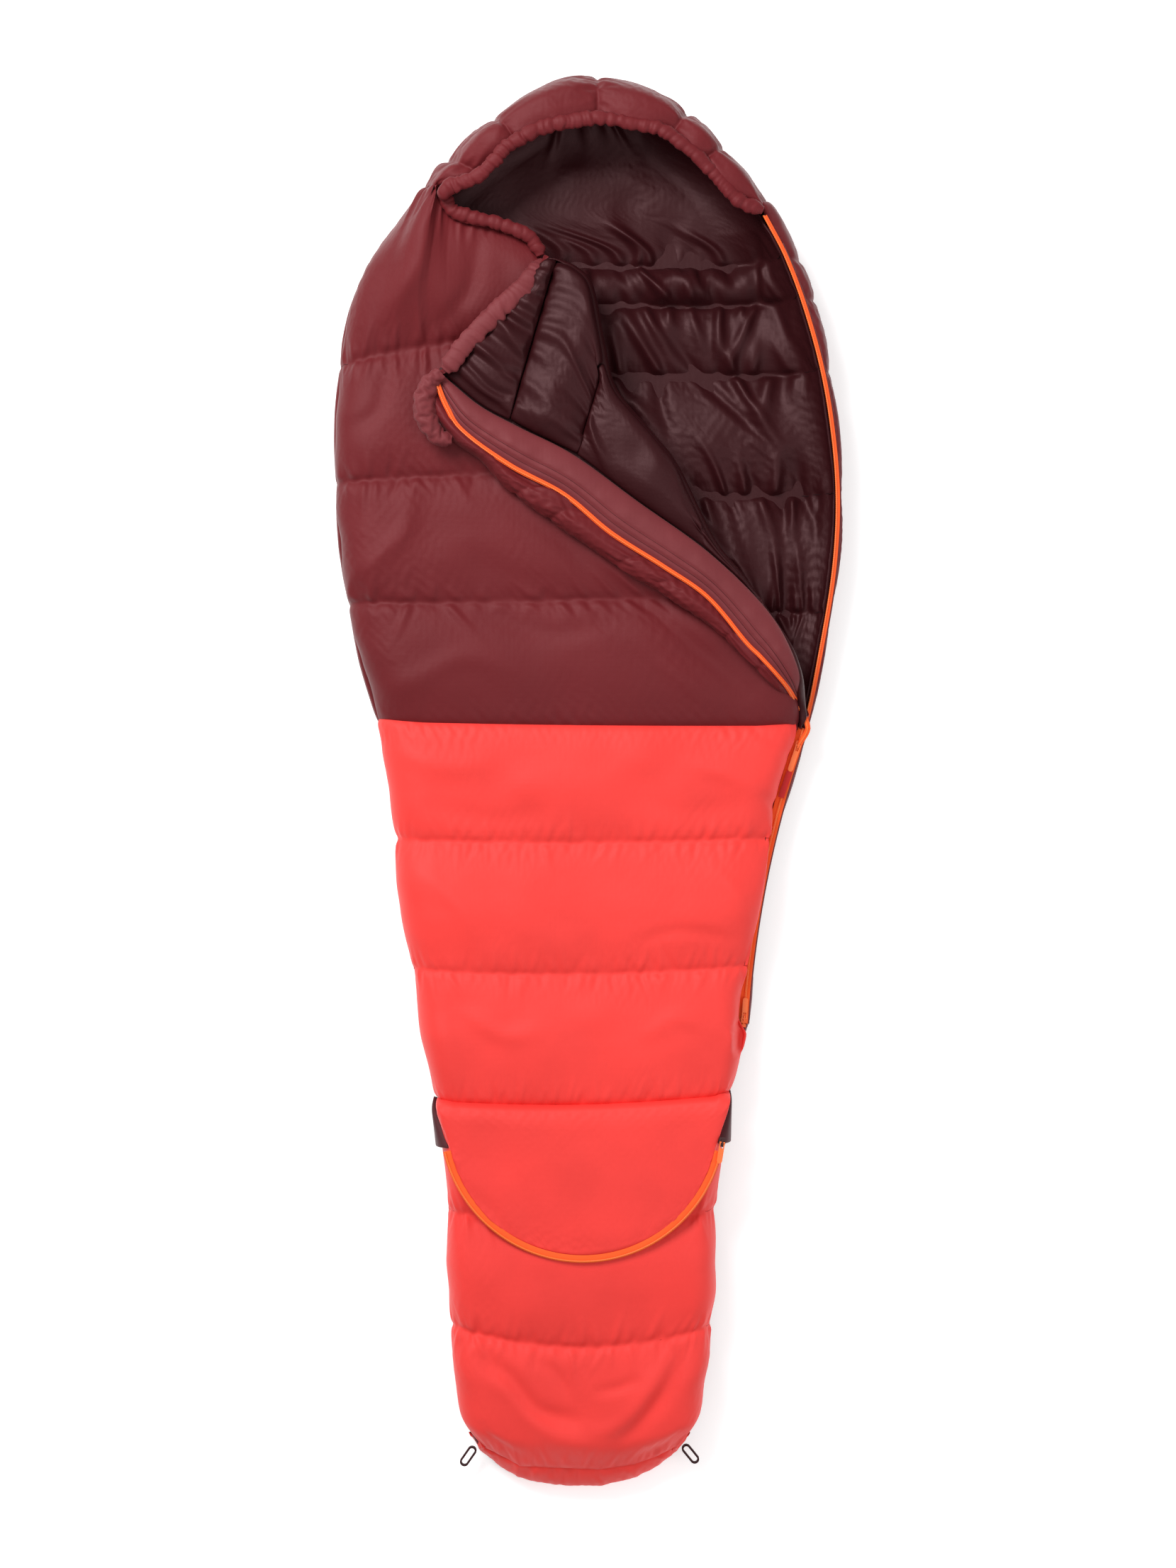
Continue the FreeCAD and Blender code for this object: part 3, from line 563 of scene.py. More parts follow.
def quilt(P, place, seams, depth, gather=0.05, slack=0.012, hold=0.03, seed=1, side=0.3,
          fade=1.0, pleat=None, rumple=0.0, folds=(), calm=1.0, **settling):
    """Puffed chambers between sewn rows, wrinkled where the seams gather the cloth.

    Returns the outer grid and the grid behind it.
    """
    shape = rows, cols = P.shape[:2]
    n = normals(P)
    full = puff(place)[:, None]
    fill = full * (1 + 0.12 * noise_grid(shape, (rows / 14, cols / 22), seed + 9))
    sunk = depth * (side + (1 - side) * np.clip(n[..., 2], 0, 1)) * fade
    base = P + n * ((fill - 1) * sunk)[..., None]
    if rumple:
        soft = noise_grid(shape, (rows / 15, cols / 26), seed + 90)
        base += n * (soft * rumple * full * fade)[..., None]
    if folds:
        base += n * (soft_folds(P, folds) * full ** 0.5)[..., None]
    if pleat:
        base += n * (pleats(P, seams, *pleat, seed + 70) * fade * calm)[..., None]
    inner = seams[1:-1]
    base[inner, :, 1] += noise_grid(shape, (3, cols / 2.2), seed + 50, 1)[inner] * 1.2
    pinned = np.zeros(shape, bool)
    pinned[seams] = True
    pinned[:, [0, -1]] = True
    along = run_up(P)
    from_seam = np.min([np.abs(along - along[s]) for s in seams], axis=0)
    close = np.exp(-from_seam / 16)[:, None]
    patch = 0.5 + np.clip(noise_grid(shape, (rows / 20, cols / 16), seed + 3), 0, 1)
    X = relax(base, pinned, (slack + gather * close) * patch, slack * patch, hold=hold,
              seed=seed, **settling)
    return X, P - n * (sunk + 3)[..., None]


def rounded(share, power):
    """0 to 1 along a rounded shoulder, which starts steep and ends level."""
    return (1 - (1 - np.clip(share, 0, 1)) ** power) ** (1 / power)


def section(width, low0, low1, crown, side0, side1, count):
    """Share of the width and height of an arched section, in even steps along it."""
    t = 0.5 - 0.5 * np.cos(np.linspace(0, math.pi, 300))
    rise = np.ones_like(t)
    for away, side in ((t * width, side0), ((1 - t) * width, side1)):
        rise *= rounded(away / side, 2.3)
    low = low0 + (low1 - low0) * t
    even = resample(np.stack([t * width, low + (crown - low) * rise], 1), count)
    return even[:, 0] / width, even[:, 1]


def arched_rows(keys, count, shape):
    """Rows of an arched panel between slanting seams.

    A key is (y at the left, y at the right, sag of its middle); shape gives a row's ends
    (x0, x1, z0, z1, crown, side0, side1) from its y at the left and at the right.
    """
    rows, place, seams = [], [], []
    for (a0, a1, sag_a), (b0, b1, sag_b) in zip(keys, keys[1:]):
        steps = max(3, int(round((abs(b0 - a0) + abs(b1 - a1)) / 10)))
        seams.append(len(rows))
        last = (b0, b1, sag_b) == tuple(keys[-1])
        for i in range(steps + last):
            f = i / steps
            y0, y1 = a0 + (b0 - a0) * f, a1 + (b1 - a1) * f
            x0, x1, z0, z1, crown, side0, side1 = shape(y0, y1)
            t, z = section(x1 - x0, z0, z1, crown, side0, side1, count)
            sag = (sag_a + (sag_b - sag_a) * f) * np.sin(math.pi * t)
            rows.append(np.stack([x0 + (x1 - x0) * t, y0 + (y1 - y0) * t + sag, z], 1))
            place.append(f % 1)
    seams.append(len(rows) - 1)
    return np.array(rows), np.array(place), seams


def cut_rows(cuts, steps_in, row_at):
    """Rows of a quilt with seams at the cuts, each row's place in its chamber and the seams."""
    rows, place, seams = [], [], []
    for a, b in zip(cuts, cuts[1:]):
        steps = steps_in(abs(b - a))
        seams.append(len(rows))
        for i in range(steps + (b == cuts[-1])):
            rows.append(row_at(a + (b - a) * i / steps))
            place.append((i / steps) % 1)
    return np.array(rows), np.array(place), seams + [len(rows) - 1]


def places(seams):
    """Each row's place in its chamber, from the seams' rows."""
    place = np.zeros(seams[-1] + 1)
    for a, b in zip(seams, seams[1:]):
        place[a:b] = (np.arange(a, b) - a) / (b - a)
    return place


def rim_of(P):
    """Marks the outer rows and columns of a grid."""
    marks = np.zeros(P.shape[:2], bool)
    marks[[0, -1]] = True
    marks[:, [0, -1]] = True
    return marks


def backing(base, thick):
    """The grid behind a padded grid."""
    return base - normals(base) * thick


# ---------------------------------------------------------------- routes, in millimetres
SPLIT = (261, 66)                        # where the opened zip parts
FOLD = [(261, 66), (255, 106), (245, 148), (224, 189), (185, 245), (148, 292), (106, 377),
        (77, 415), (32, 470), (17, 528), (4, 592), (-14, 614), (-34, 623), (-48, 624)]
ZIP = [(266, 71), (257, 89), (240, 114), (207, 150), (189, 168), (144, 221), (92, 257),
       (29, 297), (-27, 343), (-89, 376), (-145, 416), (-166, 446), (-181, 484)]
DRAFT = [(263, 80), (250, 140), (217, 203), (147, 273), (60, 336), (-16, 391), (-79, 423),
         (-124, 447), (-158, 474), (-175, 489)]
CURL = [(262, 64), (253, 88), (210, 127), (156, 181), (102, 219), (48, 251), (-5, 289),
        (-59, 327), (-102, 359), (-128, 388), (-160, 413), (-186, 450), (-190, 480)]
HEAD = np.array((15.0, 632.0))
HOOD_RIM = [(206, 676), (178, 688), (153, 713), (122, 743), (89, 768), (66, 774), (41, 778),
            (13, 783), (-30, 777), (-51, 772), (-68, 764), (-94, 748), (-108, 733), (-127, 716),
            (-147, 709), (-158, 707), (-169, 697)]
CHEST_RIM = [(-170, 702), (-160, 685), (-138, 677), (-112, 671), (-92, 665), (-72, 656),
             (-60, 644), (-55, 631)]
FLAP_RIM = [(-50, 620), (-64, 602), (-86, 577), (-108, 557), (-139, 524), (-156, 502),
            (-168, 488)]


def near(route, point):
    """Place along a dense route of the point nearest to a given one."""
    return int(np.argmin(np.linalg.norm(route - np.array(point, float), axis=1)))


def stretch(route, a, b, count=200):
    """The part of a dense route between two points."""
    i, j = near(route, a), near(route, b)
    part = route[i:j + 1] if i <= j else route[j:i + 1][::-1]
    return resample(part, count)


fold_line, zip_line, draft_line, curl_line = [curve(r, 900) for r in (FOLD, ZIP, DRAFT, CURL)]


def fold_x(y):
    """x of the front's fold at a height up the bag."""
    return np.interp(y, fold_line[:, 1], fold_line[:, 0])


# ---------------------------------------------------------------- red leg panel
def leg_shape(y0, y1):
    """Ends and crown of a row of the leg panel."""
    x0 = left_edge(y0) + 0.8
    zipped = smooth(CHAIN_LOW - 14, CHAIN_LOW + 2, y1)
    x1 = (right_edge(y1) - 0.8) * (1 - zipped) + (zip_x(np.maximum(y1, CHAIN_LOW)) - 3.8) * zipped
    y = (y0 + y1) / 2
    crown = np.interp(y, (-400, -250, 80), (90, 86, 82))
    side = np.interp(y, (-400, -250, 80), (26, 44, 62))
    return x0, x1, SEAM_Z, SEAM_Z + 3.5 * zipped, crown, side, side * 0.8


LEG_FOLDS = [([(213, -16), (228, -28), (231, -50)], 6, -3.5),
             ([(120, 26), (165, 12), (204, 0)], 13, 3.0),
             ([(198, 62), (226, 50), (246, 34)], 6, -2.5),
             ([(-232, 40), (-170, 20), (-120, 24)], 14, 2.5),
             ([(60, -20), (120, -34), (190, -24)], 15, -2.5),
             ([(-180, -30), (-110, -44), (-60, -36)], 14, -2.5),
             ([(150, -100), (176, -130), (190, -170)], 12, 3.0),
             ([(-190, -110), (-150, -150), (-140, -190)], 12, 2.5),
             ([(60, -190), (110, -176), (170, -184)], 9, -2.0),
             ([(-150, -270), (-100, -300), (-60, -296)], 12, 2.5),
             ([(70, -300), (110, -280), (150, -300)], 12, 2.5)]


PULLER_REACH = 26                        # the cloth is hollowed this far below the low slider


def leg_panel():
    """Three wide chambers of red cloth over the legs."""
    keys = [(-379, -371, -8), (-223, -219, -7), (-67, -66, -4), (75, 70, -2)]
    P, place, seams = arched_rows(keys, 150, leg_shape)
    edge = P[:, -1:]
    over = smooth(-256, -215, edge[..., 1]) * (1 - smooth(-75, -22, edge[..., 1]))
    beside = np.exp(-((edge[..., 0] - P[..., 0]) / 16) ** 2)
    above = P[..., 2] - edge[..., 2]
    P[..., 0] += 8 * over * smooth(9, 20, above) * beside
    P[..., 0] -= 3 * beside * np.exp(-((above - 5) / 4) ** 2) * smooth(0, 2, above)
    down = np.clip((CHAIN_LOW - P[..., 1]) / PULLER_REACH, 0, 1)
    aside = np.hypot(P[..., 0] - (zip_x(CHAIN_LOW) + 1.3 - 2 * down),
                     P[..., 1] - CHAIN_LOW + PULLER_REACH * down)
    dent = 44.5 + 9 * down + 3.2 * np.maximum(0, aside - 4.5)
    P[..., 2] = np.where(aside < 30, np.minimum(P[..., 2], dent), P[..., 2])
    X, back = quilt(P, place, seams, 13, gather=0.07, slack=0.006, seed=11, bend=0.5,
                    pleat=(2.6, 15, 12), rumple=3.4, folds=LEG_FOLDS,
                    calm=1 - 0.85 * smooth(10, 40, P[..., 1]))
    dented = (1 - smooth(24, 34, aside))[..., None]
    back = back * (1 - dented) + (X - (0, 0, 4)) * dented
    stitching("leg_stitches", seam_lines(X, seams), RED_THREAD_AND_SEAM_SHADE, "shell_red", "bag")
    dress(cloth_piece("leg_panel", X, RED, back, LINING, lips=(3, 3)), "shell_red", "bag",
          ("leg_shell", "leg_filling", "leg_lining"))
    return X


# ---------------------------------------------------------------- maroon chest panel
def chest_shape(y0, y1):
    """Ends and crown of a row of the chest panel, which stops at the fold."""
    x1 = float(fold_x(y1)) - 2
    crown = np.interp((y0 + y1) / 2, (75, 300, 560), (82, 81, 78))
    z1 = np.interp(y1, (70, 110, 170), (46, 60, 76))
    return left_edge(y0) + 3, x1, SEAM_Z, z1, crown, 66, np.interp(y1, (70, 170), (60, 20))


CHEST_FOLDS = [([(30, 240), (110, 180), (190, 110)], 12, -4.0),
               ([(60, 170), (110, 130), (150, 96)], 14, 3.0),
               ([(-230, 110), (-150, 150), (-90, 140)], 16, 3.0),
               ([(-120, 200), (-40, 180), (20, 190)], 14, -3.0),
               ([(-270, 250), (-220, 300), (-210, 350)], 13, 3.0),
               ([(-90, 330), (-30, 290), (10, 250)], 13, -3.0),
               ([(-286, 420), (-250, 450), (-240, 500)], 12, -3.0),
               ([(-240, 560), (-200, 620), (-190, 680)], 13, 4.0),
               ([(-180, 540), (-140, 590), (-130, 650)], 12, -4.0)]


CHEST_COLUMNS = 130


def chest_panel():
    """Maroon chambers left of the open front, up to the rim under the chin."""
    keys = [(75, 70, -2), (216, 228, -3), (362, 388, -2), (505, 556, 0)]
    P, place, seams = arched_rows(keys, CHEST_COLUMNS, chest_shape)
    lower = P[-1]
    start = hood_row(HOOD_END)[:-2]
    rim = np.array([(x, y, z) for (x, y), z in zip(CHEST_RIM, (96, 89, 87, 86, 85, 84, 83, 81))])
    top = resample(np.vstack([start, rim, [(-48, 622, 80)]]), CHEST_COLUMNS)
    share = np.linspace(0, 1, CHEST_COLUMNS)
    for f in np.arange(1, 33) / 32:
        row = lower + (top - lower) * f
        row[:, 2] += 7 * math.sin(math.pi * f) * np.sin(math.pi * share) ** 0.5
        row[:, 0] += (left_edge(row[0, 1]) + 3 * (1 - f) - row[0, 0]) * (1 - share) ** 2
        P = np.vstack([P, row[None]])
        place = np.r_[place, f % 1]
    seams.append(len(P) - 1)
    X, back = quilt(P, place, seams, 12, gather=0.06, slack=0.012, seed=23, bend=0.4,
                    pleat=(3.0, 28, 20), rumple=3.5, folds=CHEST_FOLDS,
                    calm=0.2 + 0.8 * smooth(90, 150, P[..., 1]))
    stitching("chest_stitches", seam_lines(X, seams), DARK_THREAD_AND_SEAM_SHADE, "shell_maroon", "bag")
    dress(cloth_piece("chest_panel", X, MAROON, back, LINING, lips=(3, 0.01)), "shell_maroon",
          "bag", ("chest_shell", "chest_filling", "chest_lining"))


# ---------------------------------------------------------------- growth section and foot
def foot_shape(y0, y1):
    """Ends and crown of a row of the growth section and foot."""
    y = (y0 + y1) / 2
    crown = np.interp(y, (-830, -800, -700, -560, -380), (62, 74, 82, 87, 88))
    side = np.interp(y, (-830, -400), (40, 24))
    return left_edge(y0) + 0.8, right_edge(y1) - 0.8, SEAM_Z, SEAM_Z, crown, side, side


FOOT_FOLDS = [([(-122, -688), (-92, -710), (-62, -748), (-20, -762)], 11, -7.0),
              ([(-104, -716), (-78, -742), (-48, -776), (-12, -786)], 12, 4.0),
              ([(120, -676), (92, -728), (66, -762), (40, -786)], 12, -7.0),
              ([(96, -690), (70, -732), (44, -764), (14, -778)], 11, 4.0),
              ([(58, -713), (38, -722), (14, -727)], 7, -3.0),
              ([(-60, -690), (-36, -706), (-24, -728)], 8, -2.5),
              ([(-128, -770), (-106, -796), (-80, -812)], 8, -4.0),
              ([(112, -778), (94, -800), (66, -812)], 8, -4.0)]


FOOT_COLUMNS = 110


def foot_panel():
    """Red cloth below the tongue."""
    keys = [(-652, -652, -23), (-512, -511, -14), (-392, -386, -8)]
    P, place, seams = arched_rows(keys, FOOT_COLUMNS, foot_shape)
    bottom = resample([(-142, -789, 43), (-131, -806, 50), (-84, -828, 58), (-37, -829, 61),
                       (17, -831, 61), (60, -826, 58), (90, -817, 54), (112, -807, 50),
                       (124, -789, 43)], FOOT_COLUMNS)
    steps = 30
    shares = np.arange(steps) / steps
    end = bottom + (P[0] - bottom) * shares[:, None, None]
    for row, f in zip(end, shares):
        x0, x1, z0, z1, crown, side0, side1 = foot_shape(row[0, 1], row[-1, 1])
        t, z = section(x1 - x0, z0, z1, crown, side0, side1, FOOT_COLUMNS)
        full = smooth(0, 0.28, f)
        row[:, 0] += (x0 + (x1 - x0) * t - row[:, 0]) * full
        row[:, 2] += (z - row[:, 2]) * full
    P = np.vstack([end, P])
    place = np.r_[shares, place]
    seams = [0] + [s + steps for s in seams]
    away = np.hypot(P[..., 0] - COVER_X, P[..., 1] - COVER_Y)
    under = 1 - smooth(CHAIN_RADIUS - 50, CHAIN_RADIUS + 4, away)
    P[..., 2] -= under * np.clip(P[..., 2] - 70, 0, 30)
    X, back = quilt(P, place, seams, 14, gather=0.08, slack=0.008, seed=31, bend=0.45,
                    pleat=(3.2, 18, 12), rumple=3.0, folds=FOOT_FOLDS)
    stitching("foot_stitches", seam_lines(X, seams), RED_THREAD_AND_SEAM_SHADE, "shell_red", FOOT_BEND)
    dress(cloth_piece("foot_panel", X, RED, back, LINING, lips=(2, 0.01)), "shell_red",
          FOOT_BEND, ("growth_top_shell", "growth_top_filling", "growth_top_lining",
                      "foot_top_shell", "foot_top_filling", "foot_top_lining"))
    return X[0]


def foot_end(edge):
    """The red end of the foot, from the top panel's edge down to the ground."""
    low = resample([(-142, -789, 36), (-132, -805, 16), (-109, -824, 8), (-69, -837, 6),
                    (-25, -840, 6), (20, -839, 6), (60, -833, 6), (90, -821, 8),
                    (113, -804, 16), (124, -789, 36)], len(edge))
    bulge = np.sin(math.pi * np.linspace(0, 1, len(edge))) ** 0.9
    rows = []
    for i in range(13):
        row = low + (edge - low) * i / 12
        out = math.sin(math.pi * i / 12) ** 0.8 * 19
        row[:, 1] = np.maximum(row[:, 1] - out * bulge, -856)
        rows.append(row)
    P = np.array(rows)
    pinned = rim_of(P)
    grow = np.full(P.shape[:2], 0.03)
    P += normals(P) * (pleats(P, [0, 12], 3.0, 12, 15, 6) * ~pinned)[..., None]
    X = relax(P, pinned, grow, grow * 0.5, seed=5, steps=70, bend=0.4)
    dress(cloth_piece("foot_end", X, RED, backing(P, 6), LINING, lips=(0.01, 0.01)),
          "shell_red", "foot", ("foot_end_gusset",))


# ---------------------------------------------------------------- tongue over the U zip
def coons(bottom, top, left, right):
    """Grid between four edges: rows from bottom to top, columns from left to right."""
    n, m = len(left), len(bottom)
    v = np.linspace(0, 1, n)[:, None, None]
    u = np.linspace(0, 1, m)[None, :, None]
    sides = (1 - u) * left[:, None] + u * right[:, None]
    ends = (1 - v) * bottom[None] + v * top[None]
    corners = ((1 - u) * (1 - v) * bottom[0] + u * (1 - v) * bottom[-1]
               + (1 - u) * v * top[0] + u * v * top[-1])
    return sides + ends - corners


def arc(radius, start, end, count, z):
    """Points on the U zip's arc between two angles in degrees."""
    angle = np.radians(np.linspace(start, end, count))
    return np.stack([COVER_X + radius * np.cos(angle), COVER_Y + radius * np.sin(angle),
                     np.full(count, float(z))], 1)


TONGUE_Z = 89.0
TONGUE_ROWS = 46
TONGUE_TALL, TONGUE_WIDE = 190, 320      # its rough size, for how far its fullness reaches
TONGUE_LEFT, TONGUE_RIGHT = 228, 312     # angles on the U zip where its sides begin


def tongue(leg):
    """The red tongue that closes the growth section, on the U zip, and its dark side tabs."""
    top = resample(leg[0], FOOT_COLUMNS)
    radius = CHAIN_RADIUS - 5
    bottom = arc(radius, TONGUE_LEFT, TONGUE_RIGHT, FOOT_COLUMNS, TONGUE_Z)
    sides = []
    for start, end, way, corner in ((TONGUE_LEFT, 196, -1, top[0]),
                                    (TONGUE_RIGHT, 344, 1, top[-1])):
        low = arc(radius, start, end, 30, TONGUE_Z)
        rise = curve([low[-1], low[-1] + (way * 4, 12, -6), corner + (-way, -16, 14), corner], 14)
        sides.append(resample(np.vstack([low[:-1], rise]), TONGUE_ROWS))
    left, right = sides
    P = coons(bottom, top, left, right)
    rows = np.linspace(0, 1, TONGUE_ROWS)[:, None]
    cols = np.linspace(0, 1, FOOT_COLUMNS)[None, :]
    edge = np.minimum(np.minimum(rows, 1 - rows) * TONGUE_TALL,
                      np.minimum(cols, 1 - cols) * TONGUE_WIDE)
    full = rounded(edge / 34, 2.2)
    level = (1 - rows) * TONGUE_Z + rows * top[None, :, 2]
    for side, end, away in ((left, 0, cols * TONGUE_WIDE),
                            (right, -1, (1 - cols) * TONGUE_WIDE)):
        level = level + (side[:, 2:] - level[:, [end]]) * (1 - smooth(0, 45, away))
    flat = 92.5 - 1.5 * rows
    rumple = noise_grid(P.shape[:2], (2.5, 5), 43) * 2.0
    P[..., 2] = level + (np.maximum(flat, level) + rumple - level) * full
    pinned = edge <= 0
    grow = 0.006 + 0.035 * np.exp(-edge / 14)
    X = relax(P, pinned, grow, grow, seed=41, steps=110, bend=0.5, hold=0.03)
    inner = P - (0, 0, 5)
    inner[..., 2] -= full * 10
    dress(cloth_piece("tongue", X, RED, inner, MAROON, lips=(0, 3)), "shell_red", TONGUE_BEND,
          ("cover_shell", "cover_filling", "cover_lining"))
    for name, line, way in (("left", left, -1), ("right", right, 1)):
        inside = resample(line[26:][::-1], 16) - (0, 0, 2)
        drop = np.linspace(0, 1, 16)
        outside = inside + np.stack([way * (3 + 15 * drop), 0 * drop, -6 - 20 * drop], 1)
        Q = np.array([inside + (outside - inside) * f
                      + np.array((way * 3, 0, 5)) * math.sin(math.pi * f)
                      for f in np.linspace(0, 1, 9)])
        if way < 0:
            Q = Q[::-1]
        tab = cloth_piece("tab_" + name, Q[:, ::-1], DARK, Q[:, ::-1] - (0, 0, 2.5))
        dress(tab, "shell_maroon", TONGUE_BEND, ("cover_tab_" + name,))


# ---------------------------------------------------------------- maroon back and sides
BAND_POINTS, BAND_TALL = 12, 40          # across the band, from the ground to the seam


def back_sides():
    """The band of the back that shows round the bag's sides, from the ground to the seam."""
    ys = np.linspace(-849.2, 848.5, 420)
    up, down = outline(ys)
    loop = resample(np.vstack([[(-25, -850)], up, down[::-1], [(-25, -850)]]), 1000)[:-1]
    inward = right_of(unit(np.roll(loop, -6, 0) - np.roll(loop, 6, 0)))
    line, inward = np.vstack([loop, loop[:1]]), np.vstack([inward, inward[:1]])
    y = line[:, 1]
    left = line[:, 0] < 0
    high = np.where(y > 690, 30.0, SEAM_Z)
    high = np.where((y > 60) & (y <= 690) & ~left, 34.0, high)
    high = high - (SEAM_Z - 10) * (1 - smooth(-846, -790, y))
    profile = [(26, 0.03), (15, 0.03), (7, 0.10), (1, 0.34), (0, 0.60), (1.2, 0.85), (3.4, 1.0)]
    across = resample([(a, b * BAND_TALL) for a, b in profile], BAND_POINTS)
    tucked = 2.2 * np.where(left, 1 - smooth(60, 90, y), 1 - smooth(-305, -285, y))[:, None]
    P = np.zeros((len(line), BAND_POINTS, 3))
    for k in range(BAND_POINTS):
        P[:, k, :2] = line + inward * (across[k, 0] + tucked)
        P[:, k, 2] = np.maximum(1.0, high * across[k, 1] / BAND_TALL)
    cuts = [-668, -518, -383, -228, -68, 72, 216, 362, 505, 627]
    seams = sorted({0, len(line) - 1} | {int(np.argmin(np.where(side, np.abs(y - at), 1e9)))
                                         for side in (left, ~left) for at in cuts + [740]})
    X, back = quilt(P, places(seams), seams, 4, gather=0.05, slack=0.012, seed=53, bend=0.4,
                    low=0.8, side=1.0, pleat=(1.0, 12, 14))
    X[-1], back[-1] = X[0], back[0]
    X[..., 1] = np.maximum(X[..., 1], -848)
    X[..., 2] = np.maximum(X[..., 2], 0.8)
    back[..., 1] = np.maximum(back[..., 1], -838)
    back[..., 2] = np.maximum(back[..., 2], 4)
    dress(cloth_piece("back_sides", X, MAROON, back, LINING), "shell_maroon", FOOT_BEND,
          ("back_shell", "back_filling", "foot_back_shell", "foot_back_filling"))


def back_under():
    """The quilted underside that lies on the ground."""
    cuts = [-838, -668, -518, -383, -228, -68, 72, 216, 362, 505, 627, 740, 836]

    def row_at(y):
        inset = 18 + 10 * (1 - smooth(-850, -800, y)) + 12 * smooth(790, 845, y)
        x = np.linspace(left_edge(y) + inset, right_edge(y) - inset, 60)
        return np.stack([x, np.full(60, y), np.full(60, 1.2)], 1)

    P, place, _ = cut_rows(cuts, lambda tall: int(tall / 10), row_at)
    P[..., 2] += 6 * (1 - puff(place))[:, None]
    P[..., 2] += np.clip(noise_grid(P.shape[:2], (30, 40), 77), 0, 1) * 1.5
    upper = P.copy()
    upper[..., 2] = 24
    dress(cloth_piece("back_under", P[:, ::-1], MAROON, upper[:, ::-1], LINING), "shell_maroon",
          FOOT_BEND, ("foot_back_lining",))


def side_wall():
    """The open right side's outer wall, up to the back half's zip."""

    def row_at(y):
        x0, z0 = right_edge(y) - 2.5, 33
        x1, z1 = zip_x(min(y, ZIP_END)) + 3, zip_z(min(y, ZIP_END))
        past = max(0, y - ZIP_END)
        x1 = x1 + (204 - x1) * smooth(0, 1, past / 30) * 0.6
        z1 = z1 + 8 * past / 30
        out = 4 + 0.10 * (z1 - z0)
        line = curve([(x0, z0), (x0 + out * 0.6, z0 + (z1 - z0) * 0.4),
                      (x0 * 0.5 + x1 * 0.5 + out * 0.7, z0 + (z1 - z0) * 0.8), (x1, z1)], 18)
        level = y + 0.7 * past * np.linspace(1, 0, 18)
        return np.stack([line[:, 0] + right_edge(level) - right_edge(y), level, line[:, 1]], 1)

    P, place, seams = cut_rows([690, 627, 580, 495, 349, 207, 54],
                               lambda tall: max(3, int(tall / 4)), row_at)
    X, back = quilt(P, place, seams, 6, gather=0.06, slack=0.02, seed=61, bend=0.35, side=0.8,
                    pleat=(1.6, 18, 18))
    stitching("side_stitches", seam_lines(X, seams), DARK_THREAD_AND_SEAM_SHADE, "shell_maroon", "bag")
    dress(cloth_piece("side_wall", X, MAROON, back, LINING), "shell_maroon", "bag",
          ("side_wall_shell", "side_wall_filling"))


# ---------------------------------------------------------------- dark lining of the back
def inner_lining():
    """The lining seen through the open front, puffed between seams and deeply wrinkled."""
    floor = 35                           # height of the lining on the back
    deep, shallow = 60, 50               # how far it curves up at the right and at the left
    fine = 300                           # points of a row before it is spaced evenly

    def row_at(y):
        hood = smooth(640, 700, y)
        inset = 26 + 26 * smooth(700, 800, y)
        x0 = max(left_edge(y) + 24, float(fold_x(min(y, 560))) - 110) * (1 - hood) \
            + (left_edge(y) + inset) * hood
        zip_side, zip_height = zip_x(min(y, ZIP_END)) - 5, zip_z(min(y, ZIP_END)) - 2
        x1 = zip_side * (1 - hood) + (right_edge(y) - inset - 4) * hood
        z1 = zip_height * (1 - hood) + 84 * hood
        z0 = 36 * (1 - hood) + 80 * hood
        x = np.linspace(x0, x1, fine)
        right = np.clip((x - (x1 - deep)) / deep, 0, 1)
        left = np.clip((x0 + shallow - x) / shallow, 0, 1)
        top = 45 * (1 - np.sqrt(1 - np.clip((y - 750) / 57, 0, 1) ** 2))
        z = np.maximum(floor + (z1 - floor) * (1 - np.sqrt(1 - right ** 2)), floor + top)
        z = z + (z0 - floor) * (1 - np.sqrt(1 - left ** 2))
        return resample(np.stack([x, np.full(fine, float(y)), z], 1), 150)

    P, place, seams = cut_rows([20, 207, 349, 495, 580, 627, 806], lambda tall: int(tall / 4.5),
                               row_at)
    thin = 0.2 + 0.8 * smooth(0, 45, P[:, -1:, 0] - P[..., 0])
    X, back = quilt(P, place, seams, 15, gather=0.08, slack=0.02, seed=71, bend=0.4,
                    hold=0.02, start=2.0, steps=130, low=20, cells=(22, 7), broad=0.2,
                    pleat=(11, 60, 23), rumple=4.0, fade=thin)
    stitching("lining_stitches", seam_lines(X, seams), LINING_THREAD_AND_SEAM_SHADE, "lining", "bag")
    dress(cloth_piece("inner_lining", X, LINING, back), "lining", "bag",
          ("back_lining", "side_wall_lining"))


# ---------------------------------------------------------------- hood
def polar(route):
    """Angle and radius of a route about the head, sorted by angle."""
    away = np.asarray(route, float)[:, :2] - HEAD
    angle = np.degrees(np.arctan2(away[:, 1], away[:, 0]))
    order = np.argsort(angle)
    return angle[order], np.linalg.norm(away, axis=1)[order]


HOOD_START, HOOD_END = 16.0, 158.0      # angles about the head, in degrees
HOOD_POINTS = 34                         # points of a row, from the ground to the rim
rim_angle, rim_radius = polar(curve(HOOD_RIM, 200))
out_angle, out_radius = polar(np.vstack(outline(np.linspace(640, 849, 200))))


def hood_point(angle, radius, z):
    """A point at an angle and radius about the head."""
    turn = math.radians(angle)
    return HEAD[0] + radius * math.cos(turn), HEAD[1] + radius * math.sin(turn), z


def hood_height(angle):
    """Height of the hood's rim at an angle about the head."""
    return np.interp(angle, (16, 40, 128, 158), (116, 122, 122, 104))


